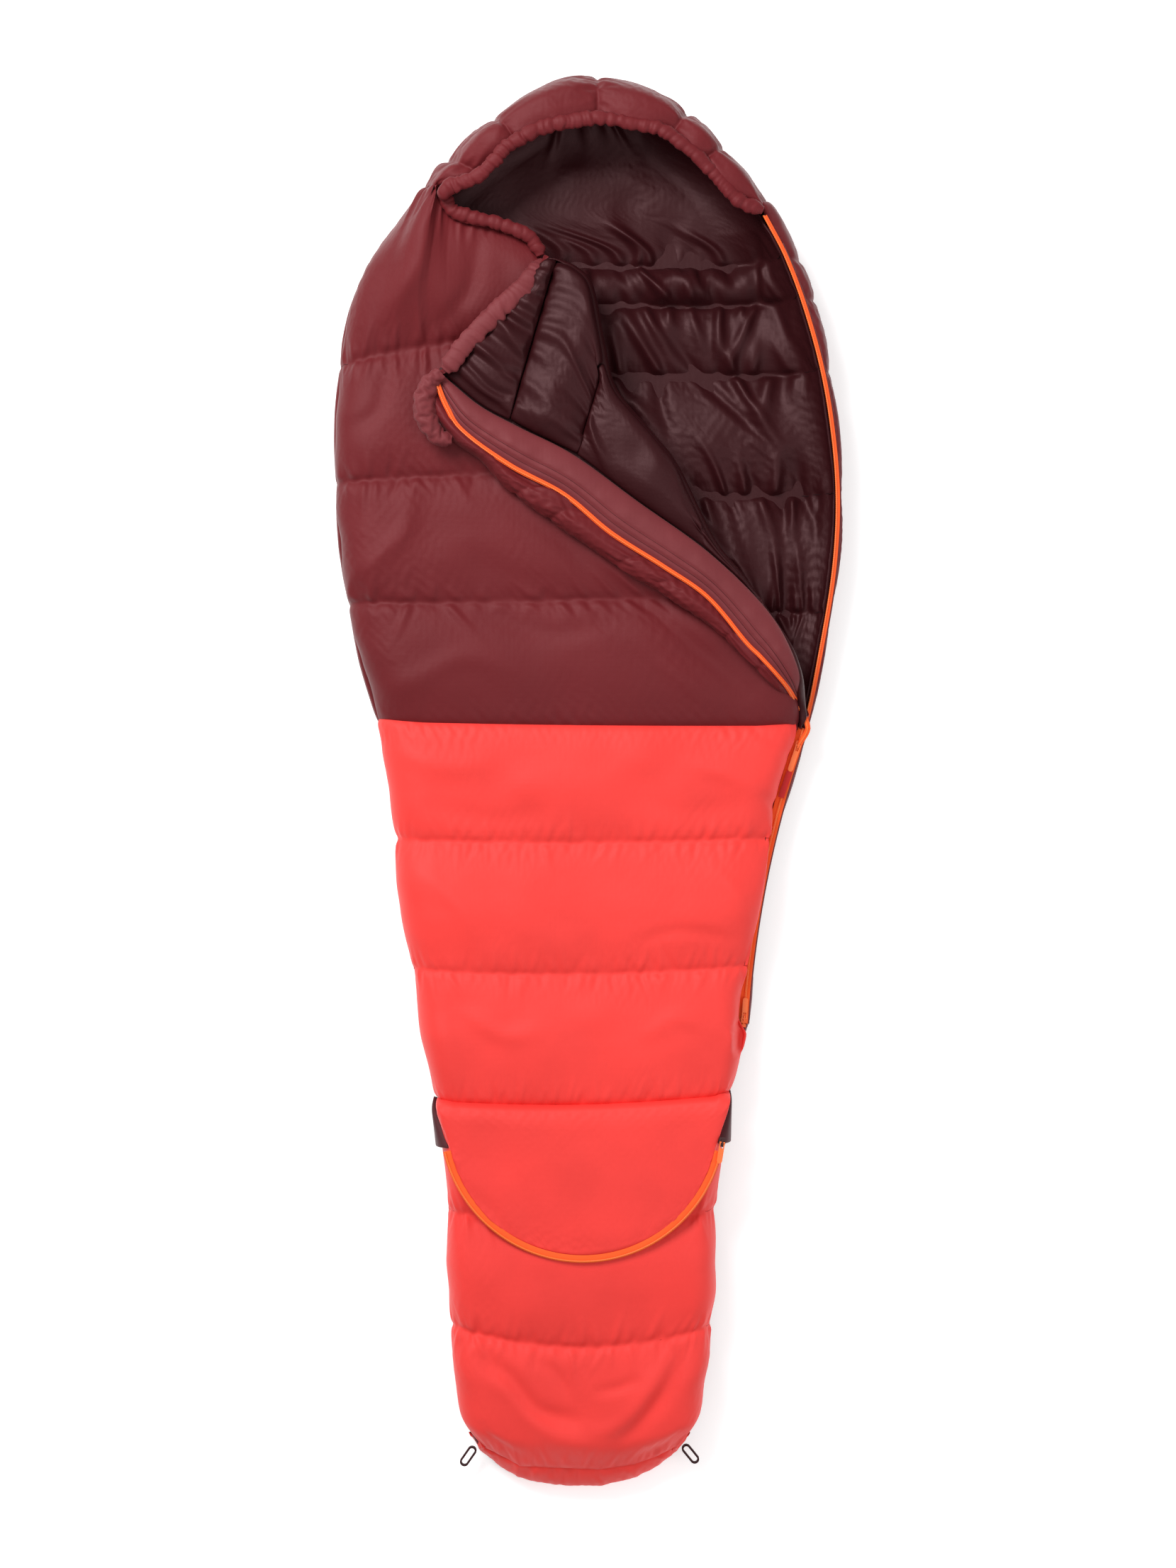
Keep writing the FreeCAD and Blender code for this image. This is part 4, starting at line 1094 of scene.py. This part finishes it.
def hood_row(angle):
    """A line of the hood's shell from the ground's edge over to the rim."""
    out = np.interp(angle, out_angle, out_radius)
    deep = out - np.interp(angle, rim_angle, rim_radius) - 5
    top = hood_height(angle)
    profile = [(-3, 28), (1.0, 46), (-1, 72), (-0.14 * deep - 2, top - 20),
               (-0.38 * deep, top - 2), (-0.7 * deep, top + 2), (-deep, top)]
    line = curve([(out + a, z) for a, z in profile], HOOD_POINTS)
    return np.array([hood_point(angle, r, z) for r, z in line])


def hood():
    """The hood's shell, its radial chambers gathered towards the rim, and its lining."""

    def inner_row(angle):
        out = np.interp(angle, out_angle, out_radius)
        rim = np.interp(angle, rim_angle, rim_radius) + 5
        top = hood_height(angle)
        inner = curve([(out - 24, 34), (out - 20, 60), (out - 0.3 * (out - rim) - 14, top - 26),
                       (rim + 3, top - 12), (rim - 2, top - 6)], HOOD_POINTS)
        return [hood_point(angle, r, z) for r, z in inner]

    def steps_in(wide):
        return max(4, round(wide / 0.9))

    cuts = [HOOD_END, 148, 128, 90.7, 57.6, 40, HOOD_START]
    P, place, seams = cut_rows(cuts, steps_in, hood_row)
    inside = cut_rows(cuts, steps_in, inner_row)[0]
    X, back = quilt(P, place, seams, 10, gather=0.05, slack=0.025, seed=83, bend=0.35,
                    hold=0.02, start=1.6, side=0.45, pleat=(3.0, 26, 17), rumple=2.5)
    stitching("hood_stitches", seam_lines(X, seams), DARK_THREAD_AND_SEAM_SHADE, "shell_maroon", "bag")
    dress(cloth_piece("hood", X, MAROON, back, LINING), "shell_maroon", "bag",
          ("hood_shell", "hood_filling"))
    X, back = quilt(inside[:, ::-1], place, seams, 5, gather=0.05, slack=0.03, seed=87,
                    bend=0.35, hold=0.02, start=1.6, pleat=(6, 50, 28))
    dress(cloth_piece("hood_inside", X, LINING, back), "lining", "bag", ("hood_lining",))


def gathered_tube(name, route, radius, seed, nodes, body="bag", material=MAROON, flat=0.65,
                  gather=2.7):
    """A rim channel drawn up on its elastic: a soft tube in close, uneven gathers."""
    route = np.asarray(route, float)
    line = curve(route, max(60, int(gaps(route).sum() / 1.6)))
    count, around = len(line), 20
    ahead = heading(line)
    side = unit(np.cross(ahead, (0, 0, 1.0)))
    angle = np.linspace(0, 2 * math.pi, around, endpoint=False)[None]
    lean = noise_grid((count, around), (count / 22, 2), seed) * 4.2
    source = np.random.default_rng(seed)
    ridge = np.zeros((count, around))
    for pitch, size in ((5.2, 0.45), (8.4, 0.9), (14.0, 1.1)):
        uneven = noise_grid((count, 1), (count / 12, 1), seed + int(pitch * 10))
        phase = np.cumsum(1 + 0.5 * uneven, axis=0)
        wave = np.sin((phase + lean) * 2 * math.pi / pitch * 0.62 + source.uniform(0, 6))
        patchy = 0.75 + 0.35 * noise_grid((count, around), (count / 9, 2), seed + int(pitch * 7))
        ridge += size * np.abs(wave) ** 0.7 * patchy
    seam_side = 0.55 + 0.45 * np.abs(np.cos(angle + 0.6))
    wobble = 1 + 0.10 * noise_grid((count, around), (count / 26, 3), seed + 5)
    size = radius * wobble + (ridge - 1.3) * gather * seam_side
    ends = np.minimum(np.arange(count), np.arange(count)[::-1])
    size = size * (0.55 + 0.45 * smooth(0, 6, ends))[:, None]
    P = ring_points(line, side, np.cross(side, ahead), np.cos(angle) * size,
                    np.sin(angle) * size * flat)
    dress(refined(closed_tube(name, [P], material)), "shell_maroon", body, nodes)


def rims():
    """The gathered rims of the hood, the chest and the flap."""
    last = len(HOOD_RIM) - 1
    high = np.interp(range(last + 1), (0, 3, last - 4, last), (112, 121, 121, 106))
    plan = HOOD_RIM + unit(HOOD_RIM - HEAD) * 2
    route = np.vstack([np.column_stack([plan, high]), [(-173, 696, 98)]])
    gathered_tube("hood_rim", route, 8.6, 101, ("hood_rim_channel", "hood_elastic"))
    route = [(x, y - 2, 89 - 4 * (i > 5)) for i, (x, y) in enumerate(CHEST_RIM)]
    gathered_tube("chest_rim", [(-176, 706, 95)] + route, 8.2, 113, ("chest_rim_channel",))
    route = [(x, y, z) for (x, y), z in zip(FLAP_RIM, (98, 106, 111, 113, 113, 112, 110))]
    gathered_tube("flap_rim", route, 11.5, 127, ("flap_rim_channel",), body="flap",
                  material=BINDING, flat=0.45, gather=3.2)


# ---------------------------------------------------------------- opened front flap
FOLD_MARKS = [(261, 67), (142, 306), (17, 500), (-36, 623), (-48, 624)]
DRAFT_MARKS = [(262, 82), (135, 283), (-13, 389), (-90, 436), (-175, 489)]
ZIP_MARKS = [(262, 76), (115, 241), (-40, 352), (-118, 398), (-181, 484)]
CURL_MARKS = [(261, 66), (84, 230), (-72, 336), (-150, 408), (-190, 480)]


def marked_rows(first, first_marks, second, second_marks, pieces, cell=4.2):
    """Matching points of two lines, chamber by chamber, with the seams' rows."""
    a_rows, b_rows, place, seams = [], [], [], []
    for i in pieces:
        a = stretch(first, first_marks[i], first_marks[i + 1])
        b = stretch(second, second_marks[i], second_marks[i + 1])
        steps = max(4, int(max(gaps(a).sum(), gaps(b).sum()) / cell))
        last = i == pieces[-1]
        seams.append(len(place))
        a, b = resample(a, steps + 1), resample(b, steps + 1)
        a_rows.append(a if last else a[:-1])
        b_rows.append(b if last else b[:-1])
        place += [(k / steps) % 1 for k in range(steps + (1 if last else 0))]
    seams.append(len(place) - 1)
    return np.vstack(a_rows), np.vstack(b_rows), np.array(place), seams


def settled(z, P):
    """Heights of the flap, which sinks and thins towards the closed zip near the split."""
    away = np.hypot(P[..., 0] - SPLIT[0], P[..., 1] - SPLIT[1])
    sunk = z - 38 * (1 - smooth(5, 90, away))
    return 47 + (sunk - 47) * (0.3 + 0.7 * smooth(18, 60, away))


def ruled(a, b, count):
    """A flat grid between matching points, its places across and each row's width."""
    t = np.linspace(0, 1, count)
    P = np.zeros((len(a), count, 3))
    P[..., :2] = a[:, None] * (1 - t)[None, :, None] + b[:, None] * t[None, :, None]
    return P, t, np.linalg.norm(b - a, axis=1)[:, None]


def flap_quilt(name, pieces, depth, seed, node, high=107.0, bow=4.0, **how):
    """Part of the flap's lining, from the draft tube's seam to the fold."""
    a, b, place, seams = marked_rows(draft_line, DRAFT_MARKS, fold_line, FOLD_MARKS, pieces)
    P, t, wide = ruled(a, b, 44)
    in_a = 1 - (1 - np.clip(t[None] * wide / 26, 0, 1)) ** 2
    in_b = rounded((1 - t)[None] * wide / 24, 2.4)
    P[..., 2] = 97 + (high - 97 + bow) * in_a * in_b - (1 - in_b) * 6
    if pieces[-1] == 3:
        hem = np.linalg.norm(P - P[-1:], axis=2)
        P[..., 2] -= 9 * (1 - smooth(0, 16, hem)) * in_a * in_b
    P[..., 2] = settled(P[..., 2], P)
    X, back = quilt(P, place, seams, depth, seed=seed, fade=0.25 + 0.75 * in_a * in_b, **how)
    dress(cloth_piece(name, X, LINING, back), "lining", "flap", (node,))


def draft_band():
    """The maroon draft tube along the flap's zip, sewn down by two rows of stitches."""
    a, b, _, _ = marked_rows(zip_line, ZIP_MARKS, draft_line, DRAFT_MARKS, range(4), 3.6)
    P, t, wide = ruled(a, b, 30)
    full = np.clip(wide / 36, 0, 1)
    P[..., 2] = 101 + 9.5 * np.sin(math.pi * t)[None].clip(0) ** 0.6 * full
    P[..., 2] = settled(P[..., 2], P)
    columns = [int(at * 29) for at in (0.24, 0.38)]
    for column in columns:
        P[..., 2] -= 1.2 * np.exp(-((t[None] - t[column]) * wide / 1.8) ** 2)
    rumple = noise_grid(P.shape[:2], (len(P) / 5, 2), 131) * np.sin(math.pi * t)[None]
    P[..., 2] += rumple * full * 0.9
    n = normals(P)
    lines = [(P[4:-4, k], n[4:-4, k]) for k in columns]
    stitching("draft_stitches", lines, DARK_THREAD_AND_SEAM_SHADE, "shell_maroon", "flap", 0.4)
    dress(cloth_piece("draft_band", P, BINDING, backing(P, 6)), "shell_maroon", "flap",
          ("draft_tube",))


def flap_outside():
    """The flap's outer cloth: under the flap, round its curled edge and up to the zip."""
    a, b, _, _ = marked_rows(zip_line, ZIP_MARKS, curl_line, CURL_MARKS, range(4), 3.6)
    rows = len(a)
    c = resample(np.vstack([stretch(fold_line, p, q)
                            for p, q in zip(FOLD_MARKS, FOLD_MARKS[1:])]), rows)
    P = []
    for zipper, edge, fold in zip(a, b, c):
        k = min(1.0, np.linalg.norm(edge - zipper) / 26)
        plan = [edge + (fold - edge) * share for share in (0.98, 0.7, 0.35, 0.1)] \
            + [edge + (zipper - edge) * share for share in (0.1, -0.06, 0.12, 0.45, 0.8, 1)]
        high = [86, 84.5, 84, 84, 84 + k, 91, 94 + 9 * k, 96 + 12 * k, 98 + 6 * k, 101]
        line = np.column_stack([plan, high])
        P.append(np.vstack([resample(line[:4], 26)[:-1], curve(line[3:], 26)]))
    P = np.array(P)
    P[..., 2] = settled(P[..., 2], P)
    run = np.r_[0, np.cumsum(gaps((a + b) / 2))]
    marks = [0, 88, 141, 240, 292, 388, 437, run[-1]]
    seams = sorted({int(np.argmin(np.abs(run - m))) for m in marks})
    X, back = quilt(P, places(seams), seams, 3, gather=0.06, slack=0.035, seed=139, bend=0.3,
                    low=settled(82.5, P), start=1.6, side=0.5, pleat=(2.6, 26, 13), rumple=1.6)
    dress(cloth_piece("flap_outside", X, MAROON, back, LINING), "shell_maroon", "flap",
          ("flap_shell", "flap_filling"))


def flap_hem():
    """The flap's neck edge, closed from its outer cloth up to the gathered rim."""
    rows, across = 70, 12
    line = resample([(-46, 625)] + FLAP_RIM + [(-182, 482)], rows)
    out = right_of(heading(line))[:, None]
    profile = curve([(-3, 83.5), (2, 86), (4, 93), (2, 101), (-2, 106)], across)
    P = np.zeros((rows, across, 3))
    P[..., :2] = line[:, None] + out * profile[None, :, :1]
    P[..., :2] += out * (noise_grid((rows, across), (22, 2), 157) * 1.2)[..., None]
    P[..., 2] = profile[None, :, 1]
    dress(cloth_piece("flap_hem", P, MAROON, backing(P, 1.2)), "shell_maroon", "flap")


FOLD_TURN, FOLD_SLOPE = 150, 0.415       # below this height the fold slopes down to the split


FOLD_ROWS = 150


def fold_strips():
    """Cloth that turns the fold, inside and outside."""
    line = resample(fold_line, FOLD_ROWS)
    out = right_of(heading(line))[:, None]
    end = np.minimum(np.arange(FOLD_ROWS), np.arange(FOLD_ROWS)[::-1])
    full = smooth(0, 12, end)[:, None, None]
    profile = curve([(-8, 88), (-1, 87), (2, 79), (1, 68), (-4, 56), (-12, 48)], 16)
    P = np.zeros((FOLD_ROWS, 16, 3))
    P[..., :2] = line[:, None] + out * (profile[None, :, :1] * full)
    sink = 1 - smooth(5, 90, np.hypot(P[..., 0] - SPLIT[0], P[..., 1] - SPLIT[1]))
    P[..., 2] = profile[None, :, 1] * (1 - sink) + (45 + 0.1 * (profile[None, :, 1] - 48)) * sink
    grow = np.full(P.shape[:2], 0.05)
    X = relax(P, rim_of(P), grow * 0.3, grow, seed=149, steps=80, bend=0.3, hold=0.03, low=44)
    dress(cloth_piece("fold_inside", X[:, ::-1], LINING, backing(P[:, ::-1], 2.5)), "lining",
          ("bag", "flap", (0, 0, 0.062), (0, 0, 0.097)), ())
    profile = curve([(-14, -3), (-6.5, -2.4), (-4, 0), (-6.5, 2.2), (-14, 2.4)], 9)
    P = np.zeros((FOLD_ROWS, 9, 3))
    P[..., :2] = line[:, None] + out * (profile[None, :, :1] - 2 * (1 - full))
    P[..., 2] = 80 + profile[None, :, 1]
    high = P[line[:, 1] > FOLD_TURN - 4]
    dress(cloth_piece("fold_outside", high, MAROON, backing(high, 0.8)), "shell_maroon",
          ("bag", "flap", (0, 0, 0.0778), (0, 0, 0.0822)))
    low = P[line[:, 1] < FOLD_TURN + 4]
    low[..., 2] += FOLD_SLOPE * (line[:len(low), None, 1] - FOLD_TURN)
    turn = np.array((0, FOLD_TURN, 80))
    reach = unit(np.array((0, -FOLD_SLOPE, 1))) * 2.2
    dress(cloth_piece("fold_corner", low, MAROON, backing(low, 0.8)), "shell_maroon",
          ("bag", "flap", tuple((turn - reach) * MM), tuple((turn + reach) * MM)))


def garage():
    """The crumpled cloth pocket at the top of the flap's zip."""
    rows, around = 40, 16
    path = curve([(-172, 486, 112), (-186, 474, 110), (-193, 452, 108), (-189, 430, 106),
                  (-176, 412, 102), (-160, 408, 99)], rows)
    side = np.column_stack([right_of(heading(path)), np.zeros(rows)])
    P = np.zeros((rows, around, 3))
    for k, (s, z) in enumerate(curve([(-13, -5), (-8, 3), (0, 7), (8, 5), (12, -3), (7, -8),
                                      (0, -6)], around)):
        P[:, k] = path + side * s
        P[:, k, 2] += z * 0.9
    taper = (0.55 + 0.45 * np.sin(math.pi * np.linspace(0, 1, rows)))[:, None, None]
    P = path[:, None] + (P - path[:, None]) * taper
    pinned = np.zeros(P.shape[:2], bool)
    pinned[[0, -1], ::3] = True
    pinned[::9, ::4] = True
    grow = np.full(P.shape[:2], 0.16)
    X = relax(P, pinned, grow, grow, seed=151, steps=90, bend=0.15, hold=0.03, start=3.0, low=90)
    dress(cloth_piece("garage", X[:, ::-1], BINDING, backing(X[:, ::-1], 1.0)), "shell_maroon",
          "flap", ("zip_garage",))


# ---------------------------------------------------------------- zips
STEPS_A_TURN = 3                         # rings along one turn of a coil


def zip_strip(name, route, width, height, body, nodes, slot="zip_tape", material=TAPE, turn=0.0):
    """A zip's tape, or its coil where turn gives the spacing of its turns, along a route."""
    route = np.asarray(route, float)
    count = int(gaps(route).sum() / (turn / STEPS_A_TURN if turn else 4)) + 2
    line = resample(route, count)
    ahead = heading(line)
    across = unit(np.cross(ahead, (0, 0, 1.0)))
    angle = np.linspace(0, 2 * math.pi, 8 if turn else 10, endpoint=False)[None] + 0.3
    swell = np.ones((count, 1))
    if turn:
        swell = 0.80 + 0.20 * np.cos(np.arange(count) * 2 * math.pi / STEPS_A_TURN)[:, None]
    wide, tall = [np.sign(f) * np.abs(f) ** 0.7 * size / 2 * swell
                  for f, size in ((np.cos(angle), width), (np.sin(angle), height))]
    P = ring_points(line, across, np.cross(across, ahead), wide, tall)
    dress(closed_tube(name, [P], material), slot, body, nodes)


COILED = {"slot": "zip_coil", "material": COIL, "turn": 2.4}


def zips():
    """Orange tapes and coils: the closed run, the two opened halves and the U zip."""
    ys = np.linspace(CHAIN_LOW, CHAIN_TOP + 13, 60)
    xs = line_reader("front_zip_coil", 0)(ys) + np.maximum(0, ys - CHAIN_TOP) * 0.33
    front = np.stack([xs, ys, np.full(60, 44.4)], 1)
    zip_strip("front_tape", front - (2.6, 0, 0.3), 7.5, 1.0, "bag", ["front_zip_tape"])
    zip_strip("front_coil", front + (0.1, 0, 0.7), 1.9, 2.4, "bag", ["front_zip_coil"], **COILED)
    ys = np.linspace(CHAIN_LOW, 656, 240)
    back = np.vstack([np.stack([zip_x(ys), ys, zip_z(ys)], 1), [(209, 672, 108), (206, 677, 113)]])
    back = curve(back[::6], 300)
    outward = 2.5 - 0.7 * smooth(40, 90, back[:, 1])
    zip_strip("back_tape", back + np.column_stack([outward, 0 * outward, 0 * outward + 0.2]),
              4.8, 1.4, "bag", ["back_zip_tape"])
    zip_strip("back_coil", back + (-0.2, 0, 1.3), 2.6, 2.6, "bag", ["back_zip_coil"], **COILED)
    flap = resample(zip_line, 300)
    tall = np.interp(np.linspace(0, 1, 300), (0, 0.2, 0.9, 1), (103, 103, 104, 107))
    run = np.column_stack([flap, settled(tall, flap)])
    zip_strip("flap_tape", run, 6.5, 1.6, "flap", ["flap_zip_tape"])
    zip_strip("flap_coil", run + (-0.8, -0.8, 1.4), 2.6, 2.6, "flap", ["flap_zip_coil"], **COILED)
    end = curve([run[14], run[7], (266, 69, 53.4), (264, 60, 50.4), (258.5, 51, 47.4),
                 (255, 43, 46)], 60)
    parting = ("bag", "flap", (0.257, 0.045, 0.05), (0.262, 0.088, 0.066))
    zip_strip("split_tape", end + (0, 0, 0.3), 6.5, 1.6, parting, [])
    zip_strip("split_coil", end + (-0.8, -0.8, 0.7), 2.6, 2.6, parting, [], **COILED)
    zip_strip("u_tape", arc(CHAIN_RADIUS - 1.5, 193, 347, 200, TONGUE_Z + 1.2), 9.5, 1.2,
              "cover_flap", ["cover_zip_tape"])
    zip_strip("u_coil", arc(CHAIN_RADIUS + 1.0, 193.5, 346.5, 260, TONGUE_Z + 2.4), 2.6, 2.2,
              "cover_flap", ["cover_zip_coil"], **COILED)
    edge = back + np.column_stack([outward + 1.8, 0 * outward, 0 * outward - 3.4])
    zip_strip("zip_binding", curve(edge[::12], 200), 5.0, 4.0, "bag", ["zip_edge_binding"],
              "shell_maroon", BINDING)


def hardware():
    """Sliders, pullers, loops and stop keep their CAD shapes with finished surfaces."""
    finish = {"top_slider": SLIDER, "low_slider": SLIDER, "foot_slider": DARK_SLIDER,
              "top_puller": PULLER, "low_puller": PULLER, "foot_puller": PULLER,
              "top_pull_tab": PULL_CLOTH, "hang_loop_left": WEBBING,
              "hang_loop_right": WEBBING, "zip_bottom_stop": COIL}
    for node, material in finish.items():
        NODES[node].data.materials.clear()
        NODES[node].data.materials.append(material)


def build():
    """All the pieces."""
    look_down()
    studio()
    leg = leg_panel()
    chest_panel()
    edge = foot_panel()
    foot_end(edge)
    tongue(leg)
    back_sides()
    back_under()
    side_wall()
    inner_lining()
    hood()
    rims()
    flap_quilt("flap_inside", [0, 1], 11, 201, "flap_lining", gather=0.05, slack=0.015,
               pleat=(7, 40, 22), rumple=3.0)
    flap_quilt("collar_quilt", [2], 17, 211, "draft_collar", high=109, bow=7,
               gather=0.05, slack=0.02, pleat=(6, 50, 24), rumple=3.0)
    flap_quilt("neck_quilt", [3], 7, 221, "flap_lining", gather=0.08, slack=0.04, start=2.0,
               pleat=(9, 70, 15))
    draft_band()
    flap_outside()
    flap_hem()
    fold_strips()
    garage()
    zips()
    hardware()


build()
